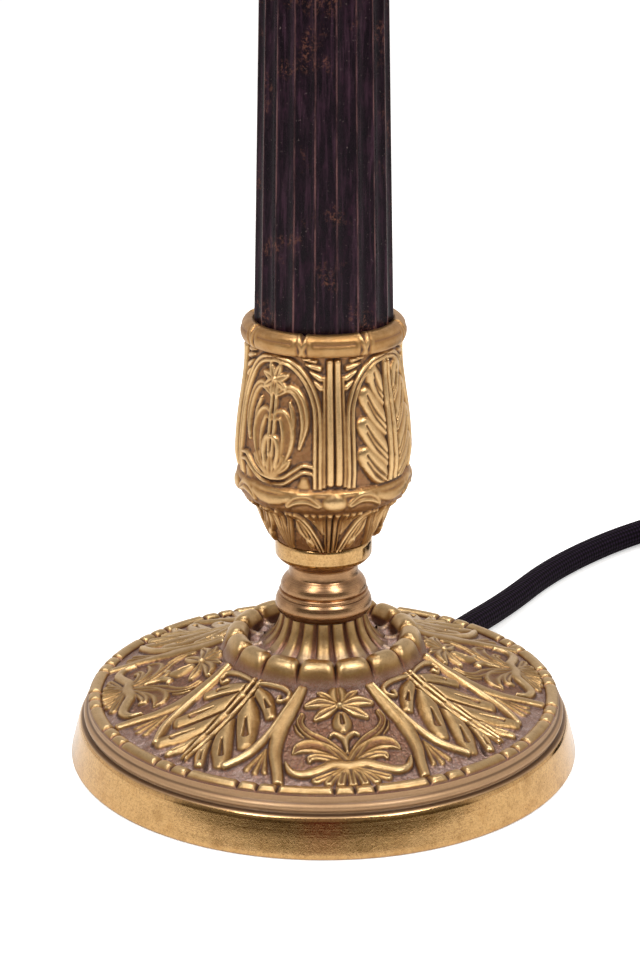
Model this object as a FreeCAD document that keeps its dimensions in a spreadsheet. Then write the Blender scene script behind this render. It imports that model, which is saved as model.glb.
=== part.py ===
import FreeCAD, Part
import math
import os
import re
import Sketcher

from FreeCAD import Placement, Rotation, Vector

# A table lamp: a round cast brass foot with a polished rim, a turned collar,
# a cast basket and a fluted column, which carries a capital, a drip pan and a
# lampholder. Millimetres, +Z up. The origin is the middle of the foot's
# underside, and the lamp is seen from -Y.

doc = FreeCAD.newDocument("ColumnLamp")
sheet = doc.addObject("Spreadsheet::Sheet", "Sizes")

SIZES = [
    # the foot
    ("foot_radius", 65.0),
    ("rim_top_radius", 62.1),
    ("rim_band_height", 10.1),
    ("rim_band_bulge", 0.3),
    ("rim_groove_depth", 1.2),
    ("rim_groove_height", 0.7),
    ("rim_bead_height", 1.8),
    ("rim_bead_bulge", 0.7),
    ("rim_cove_height", 1.8),
    ("rim_wall", 4.1),
    ("rim_flange_thickness", 2.4),
    ("rim_flange_width", 8.0),
    ("felt_thickness", 0.8),
    ("board_thickness", 1.0),
    ("foot_fit_gap", 0.3),
    ("drill_over", 4.0),
    ("border_radius", 60.0),
    ("border_width", 3.1),
    ("border_height", 1.2),
    ("border_bulge", 0.8),
    ("field_inner_radius", 25.5),
    ("field_rise", 12.0),
    ("field_hollow", 0.8),
    ("lobe_ring_radius", 21.0),
    ("lobe_ring_rise", 13.8),
    ("lobe_length", 3.2),
    ("lobe_width", 4.7),
    ("lobe_height", 3.2),
    ("lobe_count", 16),
    ("ornament_phase", 6.5),
    # the field's main ornaments: turned from the flower's middle in degrees, placed at a radius, and
    # half as long, wide and high as the numbers that follow
    ("ornament_repeats", 4),
    ("rib_turn", 21.3), ("rib_place", 32.0), ("rib_length", 9.0), ("rib_width", 1.6), ("rib_height", 1.6),
    ("rib_lean", 6.0),
    ("fork_turn", 20.8), ("fork_place", 46.8), ("fork_length", 9.6), ("fork_width", 1.3), ("fork_height", 1.6),
    ("fork_lean", -17.0),
    ("prong_turn", 28.4), ("prong_place", 46.4), ("prong_length", 9.4), ("prong_width", 1.3),
    ("prong_height", 1.6), ("prong_lean", 25.0),
    ("palmette_turn", 45.0), ("palmette_place", 40.6), ("palmette_length", 13.0), ("palmette_width", 6.8),
    ("palmette_height", 1.2),
    ("midrib_place", 40.4), ("midrib_length", 15.0), ("midrib_width", 1.5), ("midrib_height", 2.0),
    ("flower_place", 30.6), ("flower_length", 4.2), ("flower_width", 6.4), ("flower_height", 1.5),
    ("leaf_turn", 8.6), ("leaf_place", 43.4), ("leaf_length", 2.2), ("leaf_width", 6.4), ("leaf_height", 1.5),
    ("leaf_lean", 14.0),
    ("curl_turn", 9.6), ("curl_place", 51.2), ("curl_length", 1.5), ("curl_width", 7.0), ("curl_height", 1.5),
    ("curl_lean", -12.0),
    ("stem_place", 42.6), ("stem_length", 8.6), ("stem_width", 1.2), ("stem_height", 1.7),
    ("ornament_sink", 0.8),
    ("flare_foot_radius", 17.6),
    ("flare_top_radius", 10.4),
    ("flare_hollow", 1.9),
    ("casting_height", 22.9),
    ("casting_wall", 2.4),
    ("casting_crown", 4.6),
    # the clamp rod through the whole lamp
    ("rod_radius", 5.0),
    ("rod_bore_radius", 4.0),
    ("rod_hole_gap", 0.15),
    ("rod_nut_flats", 14.0),
    ("rod_nut_height", 5.0),
    ("rod_nut_gap", 0.05),
    ("washer_radius", 11.0),
    ("washer_thickness", 1.2),
    ("nut_recess_radius", 14.0),
    ("nut_recess_height", 8.4),
    # collar and plain ring
    ("collar_foot_radius", 10.7),
    ("collar_bulge", 1.55),
    ("collar_torus_height", 7.3),
    ("collar_swell_radius", 10.75),
    ("collar_swell_height", 2.3),
    ("neck_radius", 8.7),
    ("neck_height", 1.7),
    ("collar_height", 14.0),
    ("plain_ring_radius", 12.2),
    ("plain_ring_foot_radius", 9.8),
    ("plain_ring_height", 6.1),
    ("plain_ring_slope", 2.0),
    # the basket
    ("bowl_foot_radius", 12.1),
    ("bowl_top_radius", 18.2),
    ("bowl_height", 11.6),
    ("bowl_bulge", 0.5),
    ("ledge_radius", 21.8),
    ("ledge_slope", 3.0),
    ("ledge_height", 3.0),
    ("basket_radius", 21.3),
    ("basket_shoulder", 6.0),
    ("basket_top_radius", 18.4),
    ("basket_swell", 0.35),
    ("basket_height", 56.9),
    ("torus_height", 7.2),
    ("torus_bulge", 1.9),
    ("basket_wall", 2.6),
    ("basket_floor", 4.4),
    ("column_seat_depth", 4.4),
    ("column_seat_width", 3.6),
    ("column_seat_gap", 0.2),
    # the column
    ("column_radius", 17.2),
    ("column_top_radius", 12.7),
    ("column_length", 200.0),
    ("column_wall", 2.3),
    ("flute_count", 20),
    ("flute_depth", 0.9),
    ("flute_land", 0.45),
    ("disc_thickness", 2.0),
    ("disc_gap", 0.1),
    # the capital and the drip pan
    ("capital_foot_radius", 13.8),
    ("capital_torus_height", 7.0),
    ("capital_torus_bulge", 1.8),
    ("capital_neck_radius", 12.6),
    ("capital_neck_height", 2.0),
    ("capital_lip_radius", 21.0),
    ("capital_lip_height", 3.0),
    ("capital_hollow", 2.6),
    ("capital_height", 26.0),
    ("capital_wall", 3.0),
    ("pan_radius", 27.0),
    ("pan_floor_radius", 18.5),
    ("pan_rise", 4.4),
    ("pan_thickness", 1.6),
    # the lampholder
    ("cap_boss_radius", 7.5),
    ("cap_boss_height", 3.0),
    ("cap_dome_height", 6.0),
    ("cap_dome_bulge", 2.4),
    ("cap_height", 22.0),
    ("holder_radius", 19.6),
    ("holder_wall", 1.0),
    ("insert_gap", 0.2),
    ("insert_floor", 4.0),
    ("insert_bury", 2.0),
    ("insert_headroom", 2.0),
    ("sleeve_height", 36.0),
    ("sleeve_shoulder_radius", 22.6),
    ("sleeve_shoulder_height", 5.0),
    ("sleeve_shoulder_thickness", 1.6),
    ("socket_radius", 13.25),
    ("socket_wall", 0.4),
    ("socket_length", 25.0),
    ("socket_ledge", 0.8),
    ("contact_radius", 4.0),
    ("contact_height", 3.0),
    ("terminal_screw_radius", 2.2),
    ("terminal_screw_height", 2.4),
    ("terminal_screw_spread", 12.0),
    ("shade_ring_gap", 0.3),
    ("shade_ring_radius", 28.0),
    ("shade_ring_flange", 2.0),
    ("shade_ring_hub_radius", 23.0),
    ("shade_ring_height", 8.0),
    ("shade_ring_notches", 12),
    ("shade_ring_notch_radius", 2.0),
    # the turn switch
    ("switch_level", 13.0),
    ("switch_block_width", 15.0),
    ("switch_block_depth", 4.0),
    ("switch_shaft_radius", 2.0),
    ("switch_shaft_fit", 0.06),
    ("switch_shaft_bury", 5.0),
    ("switch_reach", 10.0),
    ("knob_ferrule_radius", 4.2),
    ("knob_ferrule_length", 5.0),
    ("knob_radius", 7.5),
    ("knob_thickness", 3.2),
    # the leads inside the rod
    ("lead_radius", 1.1),
    ("lead_spread", 2.5),
    ("lead_margin", 0.5),
    # the power cord
    ("cord_radius", 3.65),
    ("cord_exit_level", 5.9),
    ("cord_exit_angle", 58.0),
    ("cord_bury", 14.0),
    ("cord_straight_run", 7.06),
    ("floor_gap", 0.05),
    ("bushing_wall", 0.6),
    ("bushing_flange", 0.3),
    ("bushing_stand_out", 2.2),
    ("slot_width", 16.0),
    ("clamp_length", 8.0),
    ("terminal_block_length", 9.0),
    ("terminal_block_width", 15.0),
    ("coil_turns", 3),
    ("coil_inner_radius", 29.4),
    ("coil_pitch", 7.9),
    ("coil_run_in", 16.0),
    ("coil_across", 122.8),
    ("coil_along", 64.9),
    ("coil_start_angle", 126.0),
    ("tie_thickness", 0.8),
    ("tie_width", 10.0),
    ("tie_side_gap", 0.5),
    ("tie_gap", 0.15),
    ("tie_angle", 216.0),
    ("guard_length", 30.0),
    ("guard_wall", 1.2),
    ("guard_foot_wall", 3.0),
    ("plug_length", 34.0),
    ("plug_waist", 1.4),
    ("pin_radius", 2.2),
    ("pin_length", 19.0),
    ("pin_circle", 7.0),
    ("pin_count", 3),
]

for row, (alias, number) in enumerate(SIZES, start=1):
    sheet.set(f"A{row}", alias.replace("_", " "))
    sheet.set(f"B{row}", str(number))
    sheet.setAlias(f"B{row}", alias)
doc.recompute()

pieces = []


def named(text):
    """The expression with each of the sheet's words written as a reference to the sheet."""
    return re.sub(r"\b([a-z]+(?:_[a-z]+)+)\b", r"Sizes.\1", text)


def value(text):
    """What an expression of the sheet's words comes to, as a plain number."""
    return float(sheet.evalExpression(named(text)))


def bind(item, **properties):
    """Tie properties of a document object to expressions of the sheet's words."""
    for name, text in properties.items():
        item.setExpression(name, named(text))


def bind_place(item, across="0", along="0", level="0"):
    """Tie where an object stands to expressions."""
    for axis, text in zip("xyz", (across, along, level)):
        item.setExpression(f"Placement.Base.{axis}", named(text))


def origin_plane(body, role):
    return next(plane for plane in body.Origin.OriginFeatures if plane.Role == role)


def new_body(label):
    body = doc.addObject("PartDesign::Body", label)
    body.Label = label
    pieces.append(body)
    return body


def arc_between(start, end, bulge):
    """The arc that stands out by bulge to the right of start to end, and if it runs counter-clockwise."""
    chord = end - start
    half = chord.Length / 2
    radius = (half**2 + bulge**2) / (2 * abs(bulge))
    right = Vector(chord.y, -chord.x, 0).normalize()
    side = 1 if bulge > 0 else -1
    centre = (start + end) / 2 - right * side * (radius - abs(bulge))
    angles = [math.atan2(point.y - centre.y, point.x - centre.x) for point in (start, end)]
    counter_clockwise = bulge > 0
    if not counter_clockwise:
        angles.reverse()
    circle = Part.Circle(centre, Vector(0, 0, 1), radius)
    return Part.ArcOfCircle(circle, *angles), counter_clockwise


def turned(label, outline):
    """A piece turned about its own Z axis.

    outline goes round the half section counter-clockwise, as rows of radius, level and bulge. A bulge
    makes an arc of the side that starts there: it stands out of the piece, or with a minus into it.
    """
    body = new_body(label)
    sketch = body.newObject("Sketcher::SketchObject", f"{label}_section")
    sketch.AttachmentSupport = (origin_plane(body, "XZ_Plane"), "")
    sketch.MapMode = "FlatFace"
    corners = [Vector(value(row[0]), value(row[1]), 0) for row in outline]
    ends = []
    arcs = []
    for index, row in enumerate(outline):
        start = corners[index]
        end = corners[(index + 1) % len(corners)]
        if len(row) == 3:
            arc, counter_clockwise = arc_between(start, end, value(row[2]))
            sketch.addGeometry(arc, False)
            ends.append((1, 2) if counter_clockwise else (2, 1))
            arcs.append(index)
        else:
            sketch.addGeometry(Part.LineSegment(start, end), False)
            ends.append((1, 2))
    for index, (first, last) in enumerate(ends):
        follower = (index + 1) % len(ends)
        sketch.addConstraint(Sketcher.Constraint("Coincident", index, last, follower, ends[follower][0]))
    for index, row in enumerate(outline):
        hold_point(sketch, index, ends[index][0], row[0], row[1])
    for index in arcs:
        follower = outline[(index + 1) % len(outline)]
        hold_bulge(sketch, index, outline[index], follower)
    spin = body.newObject("PartDesign::Revolution", f"{label}_turned")
    spin.Profile = sketch
    spin.ReferenceAxis = (sketch, ["V_Axis"])
    spin.Angle = 360
    sketch.Visibility = False
    return body


def hold_point(sketch, geometry, point, radius, level):
    """Place one corner of a section by its radius and its level."""
    for kind, axis, text in (("DistanceX", -2, radius), ("DistanceY", -1, level)):
        if text == "0":
            sketch.addConstraint(Sketcher.Constraint("PointOnObject", geometry, point, axis))
            continue
        number = sketch.addConstraint(Sketcher.Constraint(kind, -1, 1, geometry, point, value(text)))
        sketch.setExpression(f"Constraints[{number}]", named(text))


def hold_bulge(sketch, geometry, row, follower):
    """Give an arc the radius that its bulge over its chord asks for."""
    bulge = row[2].lstrip("-")
    chord_squared = f"(({follower[0]}) - ({row[0]}))^2 + (({follower[1]}) - ({row[1]}))^2"
    text = f"({chord_squared}) / (8 * ({bulge})) + ({bulge}) / 2"
    number = sketch.addConstraint(Sketcher.Constraint("Radius", geometry, value(text)))
    sketch.setExpression(f"Constraints[{number}]", named(text))


def drill(body, name, radius, length, across="0", along="0", level="0", turn=None):
    """Cut a round hole. It starts at the given place and runs along Z, or as turn says."""
    hole = body.newObject("PartDesign::SubtractiveCylinder", name)
    if turn is not None:
        hole.Placement = Placement(Vector(), turn)
    bind(hole, Radius=radius, Height=length)
    bind_place(hole, across, along, level)
    body.Tip = hole
    return hole


def ring_pattern(body, feature, count):
    """Repeat one feature of a body evenly about the Z axis."""
    pattern = body.newObject("PartDesign::PolarPattern", f"{feature.Name}_round")
    pattern.Originals = [feature]
    pattern.Axis = (next(a for a in body.Origin.OriginFeatures if a.Role == "Z_Axis"), [""])
    pattern.Angle = 360
    bind(pattern, Occurrences=count)
    body.Tip = pattern
    return pattern


def primitive(kind, name, across="0", along="0", level="0", turn=None, **sizes):
    item = doc.addObject(kind, name)
    if turn is not None:
        item.Placement = Placement(Vector(), turn)
    bind(item, **sizes)
    bind_place(item, across, along, level)
    return item


def group(label, members):
    """Several like solids that share one node."""
    item = doc.addObject("Part::Compound", label)
    item.Links = members
    item.Label = label
    pieces.append(item)
    return item


def hexagon_nut(label, level):
    """A hexagon nut on the clamp rod."""
    body = new_body(label)
    prism = body.newObject("PartDesign::AdditivePrism", f"{label}_prism")
    prism.Polygon = 6
    bind(prism, Circumradius="rod_nut_flats / sqrt(3)", Height="rod_nut_height")
    bind_place(prism, level=level)
    drill(body, f"{label}_thread", "rod_radius + rod_nut_gap", "rod_nut_height", level=level)
    return body


# Levels, each the sum of what stands below it.
CASTING_SEAT = "(rim_band_height + rim_groove_height + rim_bead_height + rim_cove_height)"
COLLAR_SEAT = f"({CASTING_SEAT} + casting_height)"
RING_SEAT = f"({COLLAR_SEAT} + collar_height)"
BASKET_SEAT = f"({RING_SEAT} + plain_ring_height)"
BASKET_TOP = f"({BASKET_SEAT} + basket_height)"
COLUMN_SEAT = f"({BASKET_TOP} - column_seat_depth)"
CAPITAL_SEAT = f"({COLUMN_SEAT} + column_length)"
PAN_SEAT = f"({CAPITAL_SEAT} + capital_height)"
NUT_SEAT = f"({PAN_SEAT} + pan_thickness)"
CAP_SEAT = f"({NUT_SEAT} + rod_nut_height)"
SLEEVE_SEAT = f"({CAP_SEAT} + cap_height)"
SLEEVE_TOP = f"({SLEEVE_SEAT} + sleeve_height)"
SHOULDER_TOP = f"({SLEEVE_SEAT} + sleeve_shoulder_height + sleeve_shoulder_thickness)"
SOCKET_FLOOR = f"({SLEEVE_SEAT} + insert_floor)"
SHELL_FOOT = f"({SOCKET_FLOOR} + contact_height + 0.5)"
SWITCH_AXIS = f"({CAP_SEAT} + switch_level)"
INSERT_FOOT = f"({SLEEVE_SEAT} - insert_bury)"
SWITCH_FOOT = f"({SWITCH_AXIS} - switch_block_depth)"
BALLAST_FLOOR = "(felt_thickness + board_thickness)"
BALLAST_TOP = f"({CASTING_SEAT} - rim_flange_thickness)"
RECESS_TOP = f"({BALLAST_FLOOR} + nut_recess_height)"
ROD_HOLE = "(rod_radius + rod_hole_gap)"
FOOT_INSIDE = "(rim_top_radius - rim_wall)"
RIM_DEPTH = f"(foot_radius - {FOOT_INSIDE})"
FLANGE_HOLE = f"({FOOT_INSIDE} - rim_flange_width)"
CORD_START = f"({FOOT_INSIDE} - cord_bury)"


# ---- the foot -----------------------------------------------------------------

def make_rim():
    """The polished band with its groove and bead, and a flange inside that carries the casting."""
    bead_foot = "(rim_top_radius - rim_groove_depth)"
    groove_top = "(rim_band_height + rim_groove_height)"
    bead_top = f"({groove_top} + rim_bead_height)"
    rim = turned("foot_rim", [
        (FOOT_INSIDE, "0"),
        ("foot_radius", "0", "rim_band_bulge"),
        ("rim_top_radius", "rim_band_height"),
        (bead_foot, "rim_band_height"),
        (bead_foot, groove_top, "rim_bead_bulge"),
        (f"{bead_foot} - 0.6", bead_top),
        ("border_radius + 0.3", CASTING_SEAT),
        (FLANGE_HOLE, CASTING_SEAT),
        (FLANGE_HOLE, BALLAST_TOP),
        (FOOT_INSIDE, BALLAST_TOP),
    ])
    outward = Rotation(Vector(0, 0, 1), Vector(*exit_direction()))
    drill(rim, "cord_hole", "cord_radius + bushing_wall", f"{RIM_DEPTH} + 2 * drill_over",
          f"({FOOT_INSIDE} - drill_over) * cos(cord_exit_angle)",
          f"({FOOT_INSIDE} - drill_over) * sin(cord_exit_angle)",
          "cord_exit_level", outward)


def exit_direction():
    """The way the cord leaves the foot."""
    angle = math.radians(value("cord_exit_angle"))
    return math.cos(angle), math.sin(angle), 0


def cord_outside():
    """The cord's first point outside the rim, on the table's level. The rest of the cord keeps to it."""
    return Vector(*exit_direction()) * value("foot_radius + cord_straight_run")


def make_underside():
    """Felt on a fibre board, inside the rim."""
    fit = f"({FOOT_INSIDE} - foot_fit_gap)"
    for label, low, high in (("felt_pad", "0", "felt_thickness"),
                             ("base_board", "felt_thickness", BALLAST_FLOOR)):
        body = new_body(label)
        disc = body.newObject("PartDesign::AdditiveCylinder", f"{label}_disc")
        bind(disc, Radius=fit, Height=f"({high}) - ({low})")
        bind_place(disc, level=low)


def make_ballast():
    """An iron disc with a recess for the nut and a slot for the cord."""
    body = new_body("ballast_disc")
    disc = body.newObject("PartDesign::AdditiveCylinder", "ballast_blank")
    bind(disc, Radius=f"{FOOT_INSIDE} - foot_fit_gap", Height=f"{BALLAST_TOP} - {BALLAST_FLOOR}")
    bind_place(disc, level=BALLAST_FLOOR)
    drill(body, "ballast_hole", ROD_HOLE, BALLAST_TOP, level="0")
    drill(body, "nut_recess", "nut_recess_radius", "nut_recess_height", level=BALLAST_FLOOR)
    slot = body.newObject("PartDesign::SubtractiveBox", "cord_slot")
    slot.Placement = Placement(Vector(), Rotation(Vector(0, 0, 1), value("cord_exit_angle")))
    bind(slot, Length="foot_radius", Width="slot_width", Height="nut_recess_height")
    bind_place(slot, "slot_width / 2 * sin(cord_exit_angle)", "-slot_width / 2 * cos(cord_exit_angle)",
               BALLAST_FLOOR)
    body.Tip = slot


def ornament(body, kind, turned_by, lean):
    """Raise one long rounded form on the sloping field, and repeat it round the foot.

    It is turned from the flower's middle, and leans from the radial line within the slope.
    """
    fall = f"((field_rise - border_height) / (border_radius - border_width - field_inner_radius))"
    level = (f"{CASTING_SEAT} + border_height - ornament_sink"
             f" + (border_radius - border_width - {kind}_place) * {fall}")
    around = value("ornament_phase") - 90 + turned_by
    up = Vector(0, 0, 1)
    slope = math.degrees(math.atan(value(fall)))
    turn = Rotation(up, around) * Rotation(Vector(0, 1, 0), slope) * Rotation(up, lean)
    form = body.newObject("PartDesign::AdditiveEllipsoid", f"{kind}_form")
    form.Placement = Placement(Vector(), turn)
    bind(form, Radius1=f"{kind}_height", Radius2=f"{kind}_length", Radius3=f"{kind}_width")
    bind_place(form, f"{kind}_place * cos({around})", f"{kind}_place * sin({around})", level)
    ring_pattern(body, form, "ornament_repeats")


def make_casting():
    """The cast cover: a border, a hollow field, a ring of lobes and a hollow flare."""
    flare_foot = f"({CASTING_SEAT} + lobe_ring_rise)"
    field_top = f"({CASTING_SEAT} + field_rise)"
    crown = f"({COLLAR_SEAT} - casting_crown)"
    border_inside = "(border_radius - border_width)"
    body = turned("foot_casting", [
        (f"{border_inside} - casting_wall", CASTING_SEAT),
        ("border_radius", CASTING_SEAT, "border_bulge"),
        (border_inside, f"{CASTING_SEAT} + border_height", "-field_hollow"),
        ("field_inner_radius", field_top),
        ("lobe_ring_radius + 1", flare_foot),
        ("flare_foot_radius", flare_foot, "-flare_hollow"),
        ("flare_top_radius", COLLAR_SEAT),
        (ROD_HOLE, COLLAR_SEAT),
        (ROD_HOLE, crown),
        ("flare_top_radius - casting_wall", crown),
        ("flare_foot_radius - casting_wall", f"{flare_foot} - casting_wall"),
        ("field_inner_radius - casting_wall", f"{field_top} - casting_wall"),
    ])
    lobe = body.newObject("PartDesign::AdditiveEllipsoid", "lobe")
    bind(lobe, Radius1="lobe_height", Radius2="lobe_length", Radius3="lobe_width")
    lobe.Placement = Placement(Vector(), Rotation(Vector(0, 0, 1), LOBE_PHASE))
    bind_place(lobe, f"lobe_ring_radius * cos({LOBE_PHASE})", f"lobe_ring_radius * sin({LOBE_PHASE})",
               f"{flare_foot} - 0.6")
    ring_pattern(body, lobe, "lobe_count")
    for side in (1, -1):
        for kind in ("rib", "fork", "prong", "leaf", "curl"):
            ornament(body, kind, side * value(f"{kind}_turn"), side * value(f"{kind}_lean"))
    ornament(body, "palmette", value("palmette_turn"), 0)
    ornament(body, "midrib", value("palmette_turn"), 0)
    ornament(body, "flower", 0, 0)
    ornament(body, "stem", 0, 0)
    drill(body, "casting_rod_hole", ROD_HOLE, COLLAR_SEAT)


# ---- the stem -----------------------------------------------------------------

def make_collar():
    torus_top = f"({COLLAR_SEAT} + collar_torus_height)"
    swell_top = f"({torus_top} + 0.7 + collar_swell_height)"
    turned("turned_collar", [
        (ROD_HOLE, COLLAR_SEAT),
        ("collar_foot_radius", COLLAR_SEAT, "collar_bulge"),
        ("collar_foot_radius", torus_top),
        ("collar_foot_radius", f"{torus_top} + 0.4"),
        ("collar_swell_radius", f"{torus_top} + 0.7", "0.3"),
        ("neck_radius + 1", swell_top),
        ("neck_radius", f"{swell_top} + 0.8"),
        ("neck_radius", f"{swell_top} + 0.8 + neck_height"),
        ("plain_ring_foot_radius", RING_SEAT),
        (ROD_HOLE, RING_SEAT),
    ])


def make_plain_ring():
    turned("plain_ring", [
        (ROD_HOLE, RING_SEAT),
        ("plain_ring_foot_radius", RING_SEAT),
        ("plain_ring_radius", f"{RING_SEAT} + plain_ring_slope"),
        ("plain_ring_radius", f"{BASKET_SEAT} - 0.8"),
        ("plain_ring_radius - 0.4", BASKET_SEAT),
        (ROD_HOLE, BASKET_SEAT),
    ])


def make_basket():
    """Bowl, ledge, swelling body and a torus at the top, in one hollow casting."""
    bowl_top = f"({BASKET_SEAT} + bowl_height)"
    ledge_foot = f"({bowl_top} + ledge_slope)"
    ledge_top = f"({ledge_foot} + ledge_height)"
    torus_foot = f"({BASKET_TOP} - torus_height)"
    seat_hole = "(column_radius + column_seat_gap)"
    seat_inside = "(column_radius - column_seat_width)"
    turned("basket_casting", [
        (ROD_HOLE, BASKET_SEAT),
        ("bowl_foot_radius", BASKET_SEAT, "bowl_bulge"),
        ("bowl_top_radius", bowl_top),
        ("ledge_radius", ledge_foot, "0.3"),
        ("ledge_radius - 0.4", ledge_top),
        ("basket_radius - 0.4", f"{ledge_top} + 0.6"),
        ("basket_radius", f"{ledge_top} + basket_shoulder", "basket_swell"),
        ("basket_top_radius", torus_foot, "torus_bulge"),
        ("basket_top_radius", BASKET_TOP),
        (seat_hole, BASKET_TOP),
        (seat_hole, COLUMN_SEAT),
        (seat_inside, COLUMN_SEAT),
        (seat_inside, f"{COLUMN_SEAT} - 3"),
        ("basket_top_radius - basket_wall", f"{COLUMN_SEAT} - 6"),
        ("basket_radius - basket_wall", f"{ledge_top} + basket_shoulder"),
        ("bowl_top_radius - basket_wall", bowl_top),
        ("bowl_foot_radius - basket_wall", f"{BASKET_SEAT} + basket_floor"),
        (ROD_HOLE, f"{BASKET_SEAT} + basket_floor"),
    ])


def make_column():
    """A tapered tube with flutes, which narrow and get shallower with the taper."""
    body = turned("fluted_column", [
        ("column_radius - column_wall", COLUMN_SEAT),
        ("column_radius", COLUMN_SEAT),
        ("column_top_radius", CAPITAL_SEAT),
        ("column_top_radius - column_wall", CAPITAL_SEAT),
    ])
    half_width = "(3.14159265 * column_radius / flute_count - flute_land / 2)"
    cutter = f"(({half_width})^2 + flute_depth^2) / (2 * flute_depth)"
    share = "(column_top_radius / column_radius)"
    reach = f"(column_radius - flute_depth + {cutter})"
    lean = f"atan({reach} * (1 - {share}) / column_length)"
    flute = body.newObject("PartDesign::SubtractiveCone", "flute")
    tilt = Rotation(Vector(0, 1, 0), -value(lean))
    flute.Placement = Placement(Vector(), tilt)
    bind(flute, Radius1=cutter, Radius2=f"({cutter}) * {share}",
         Height=f"column_length / cos({lean}) + 0.01")
    bind_place(flute, reach, "0", f"{COLUMN_SEAT} - 0.005")
    body.Tip = flute
    ring_pattern(body, flute, "flute_count")
    lower_disc = "(column_radius - column_wall - disc_gap)"
    upper_disc = "(column_top_radius - column_wall - disc_gap)"
    for label, radius, level in (("column_lower_disc", lower_disc, COLUMN_SEAT),
                                 ("column_upper_disc", upper_disc, f"{CAPITAL_SEAT} - disc_thickness")):
        disc = turned(label, [
            (ROD_HOLE, level),
            (f"{radius} - 0.1", level),
            (f"{radius} - 0.1", f"{level} + disc_thickness"),
            (ROD_HOLE, f"{level} + disc_thickness"),
        ])
        disc.Label = label


def make_capital():
    torus_top = f"({CAPITAL_SEAT} + capital_torus_height)"
    neck_top = f"({torus_top} + capital_neck_height)"
    lip_foot = f"({PAN_SEAT} - capital_lip_height)"
    turned("capital_casting", [
        (ROD_HOLE, CAPITAL_SEAT),
        ("capital_foot_radius", CAPITAL_SEAT, "capital_torus_bulge"),
        ("capital_foot_radius", torus_top),
        ("capital_neck_radius", f"{torus_top} + 0.6"),
        ("capital_neck_radius", neck_top, "-capital_hollow"),
        ("capital_lip_radius - 0.8", lip_foot),
        ("capital_lip_radius", f"{lip_foot} + 0.6"),
        ("capital_lip_radius", f"{PAN_SEAT} - 0.5"),
        ("capital_lip_radius - 0.5", PAN_SEAT),
        ("capital_lip_radius - capital_wall", PAN_SEAT),
        ("capital_neck_radius - capital_wall", neck_top),
        (ROD_HOLE, neck_top),
    ])
    turned("drip_pan", [
        (ROD_HOLE, PAN_SEAT),
        ("pan_floor_radius", PAN_SEAT, "1.0"),
        ("pan_radius", f"{PAN_SEAT} + pan_rise"),
        ("pan_radius - 0.8", f"{PAN_SEAT} + pan_rise + 0.8"),
        ("pan_radius - pan_thickness", f"{PAN_SEAT} + pan_rise", "-1.0"),
        ("pan_floor_radius - 0.4", NUT_SEAT),
        (ROD_HOLE, NUT_SEAT),
    ])


def make_rod():
    hexagon_nut("foot_nut", f"{RECESS_TOP} - washer_thickness - rod_nut_height")
    washer_floor = f"({RECESS_TOP} - washer_thickness)"
    turned("foot_washer", [
        (ROD_HOLE, washer_floor),
        ("washer_radius", washer_floor),
        ("washer_radius", RECESS_TOP),
        (ROD_HOLE, RECESS_TOP),
    ])
    hexagon_nut("top_nut", NUT_SEAT)
    low = f"({washer_floor} - rod_nut_height - 0.3)"
    high = f"({CAP_SEAT} + cap_boss_height + 1.5)"
    turned("threaded_rod", [
        ("rod_bore_radius", low),
        ("rod_radius", low),
        ("rod_radius", high),
        ("rod_bore_radius", high),
    ])
    leads = []
    for number, angle in enumerate((90, 210, 330)):
        leads.append(primitive(
            "Part::Cylinder", f"lead_{number}",
            f"lead_spread * cos({angle})", f"lead_spread * sin({angle})", f"{low} + lead_margin",
            Radius="lead_radius", Height=f"{SWITCH_FOOT} - {low} - lead_margin"))
    group("lead_wires", leads)


# ---- the lampholder -------------------------------------------------------------

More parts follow.
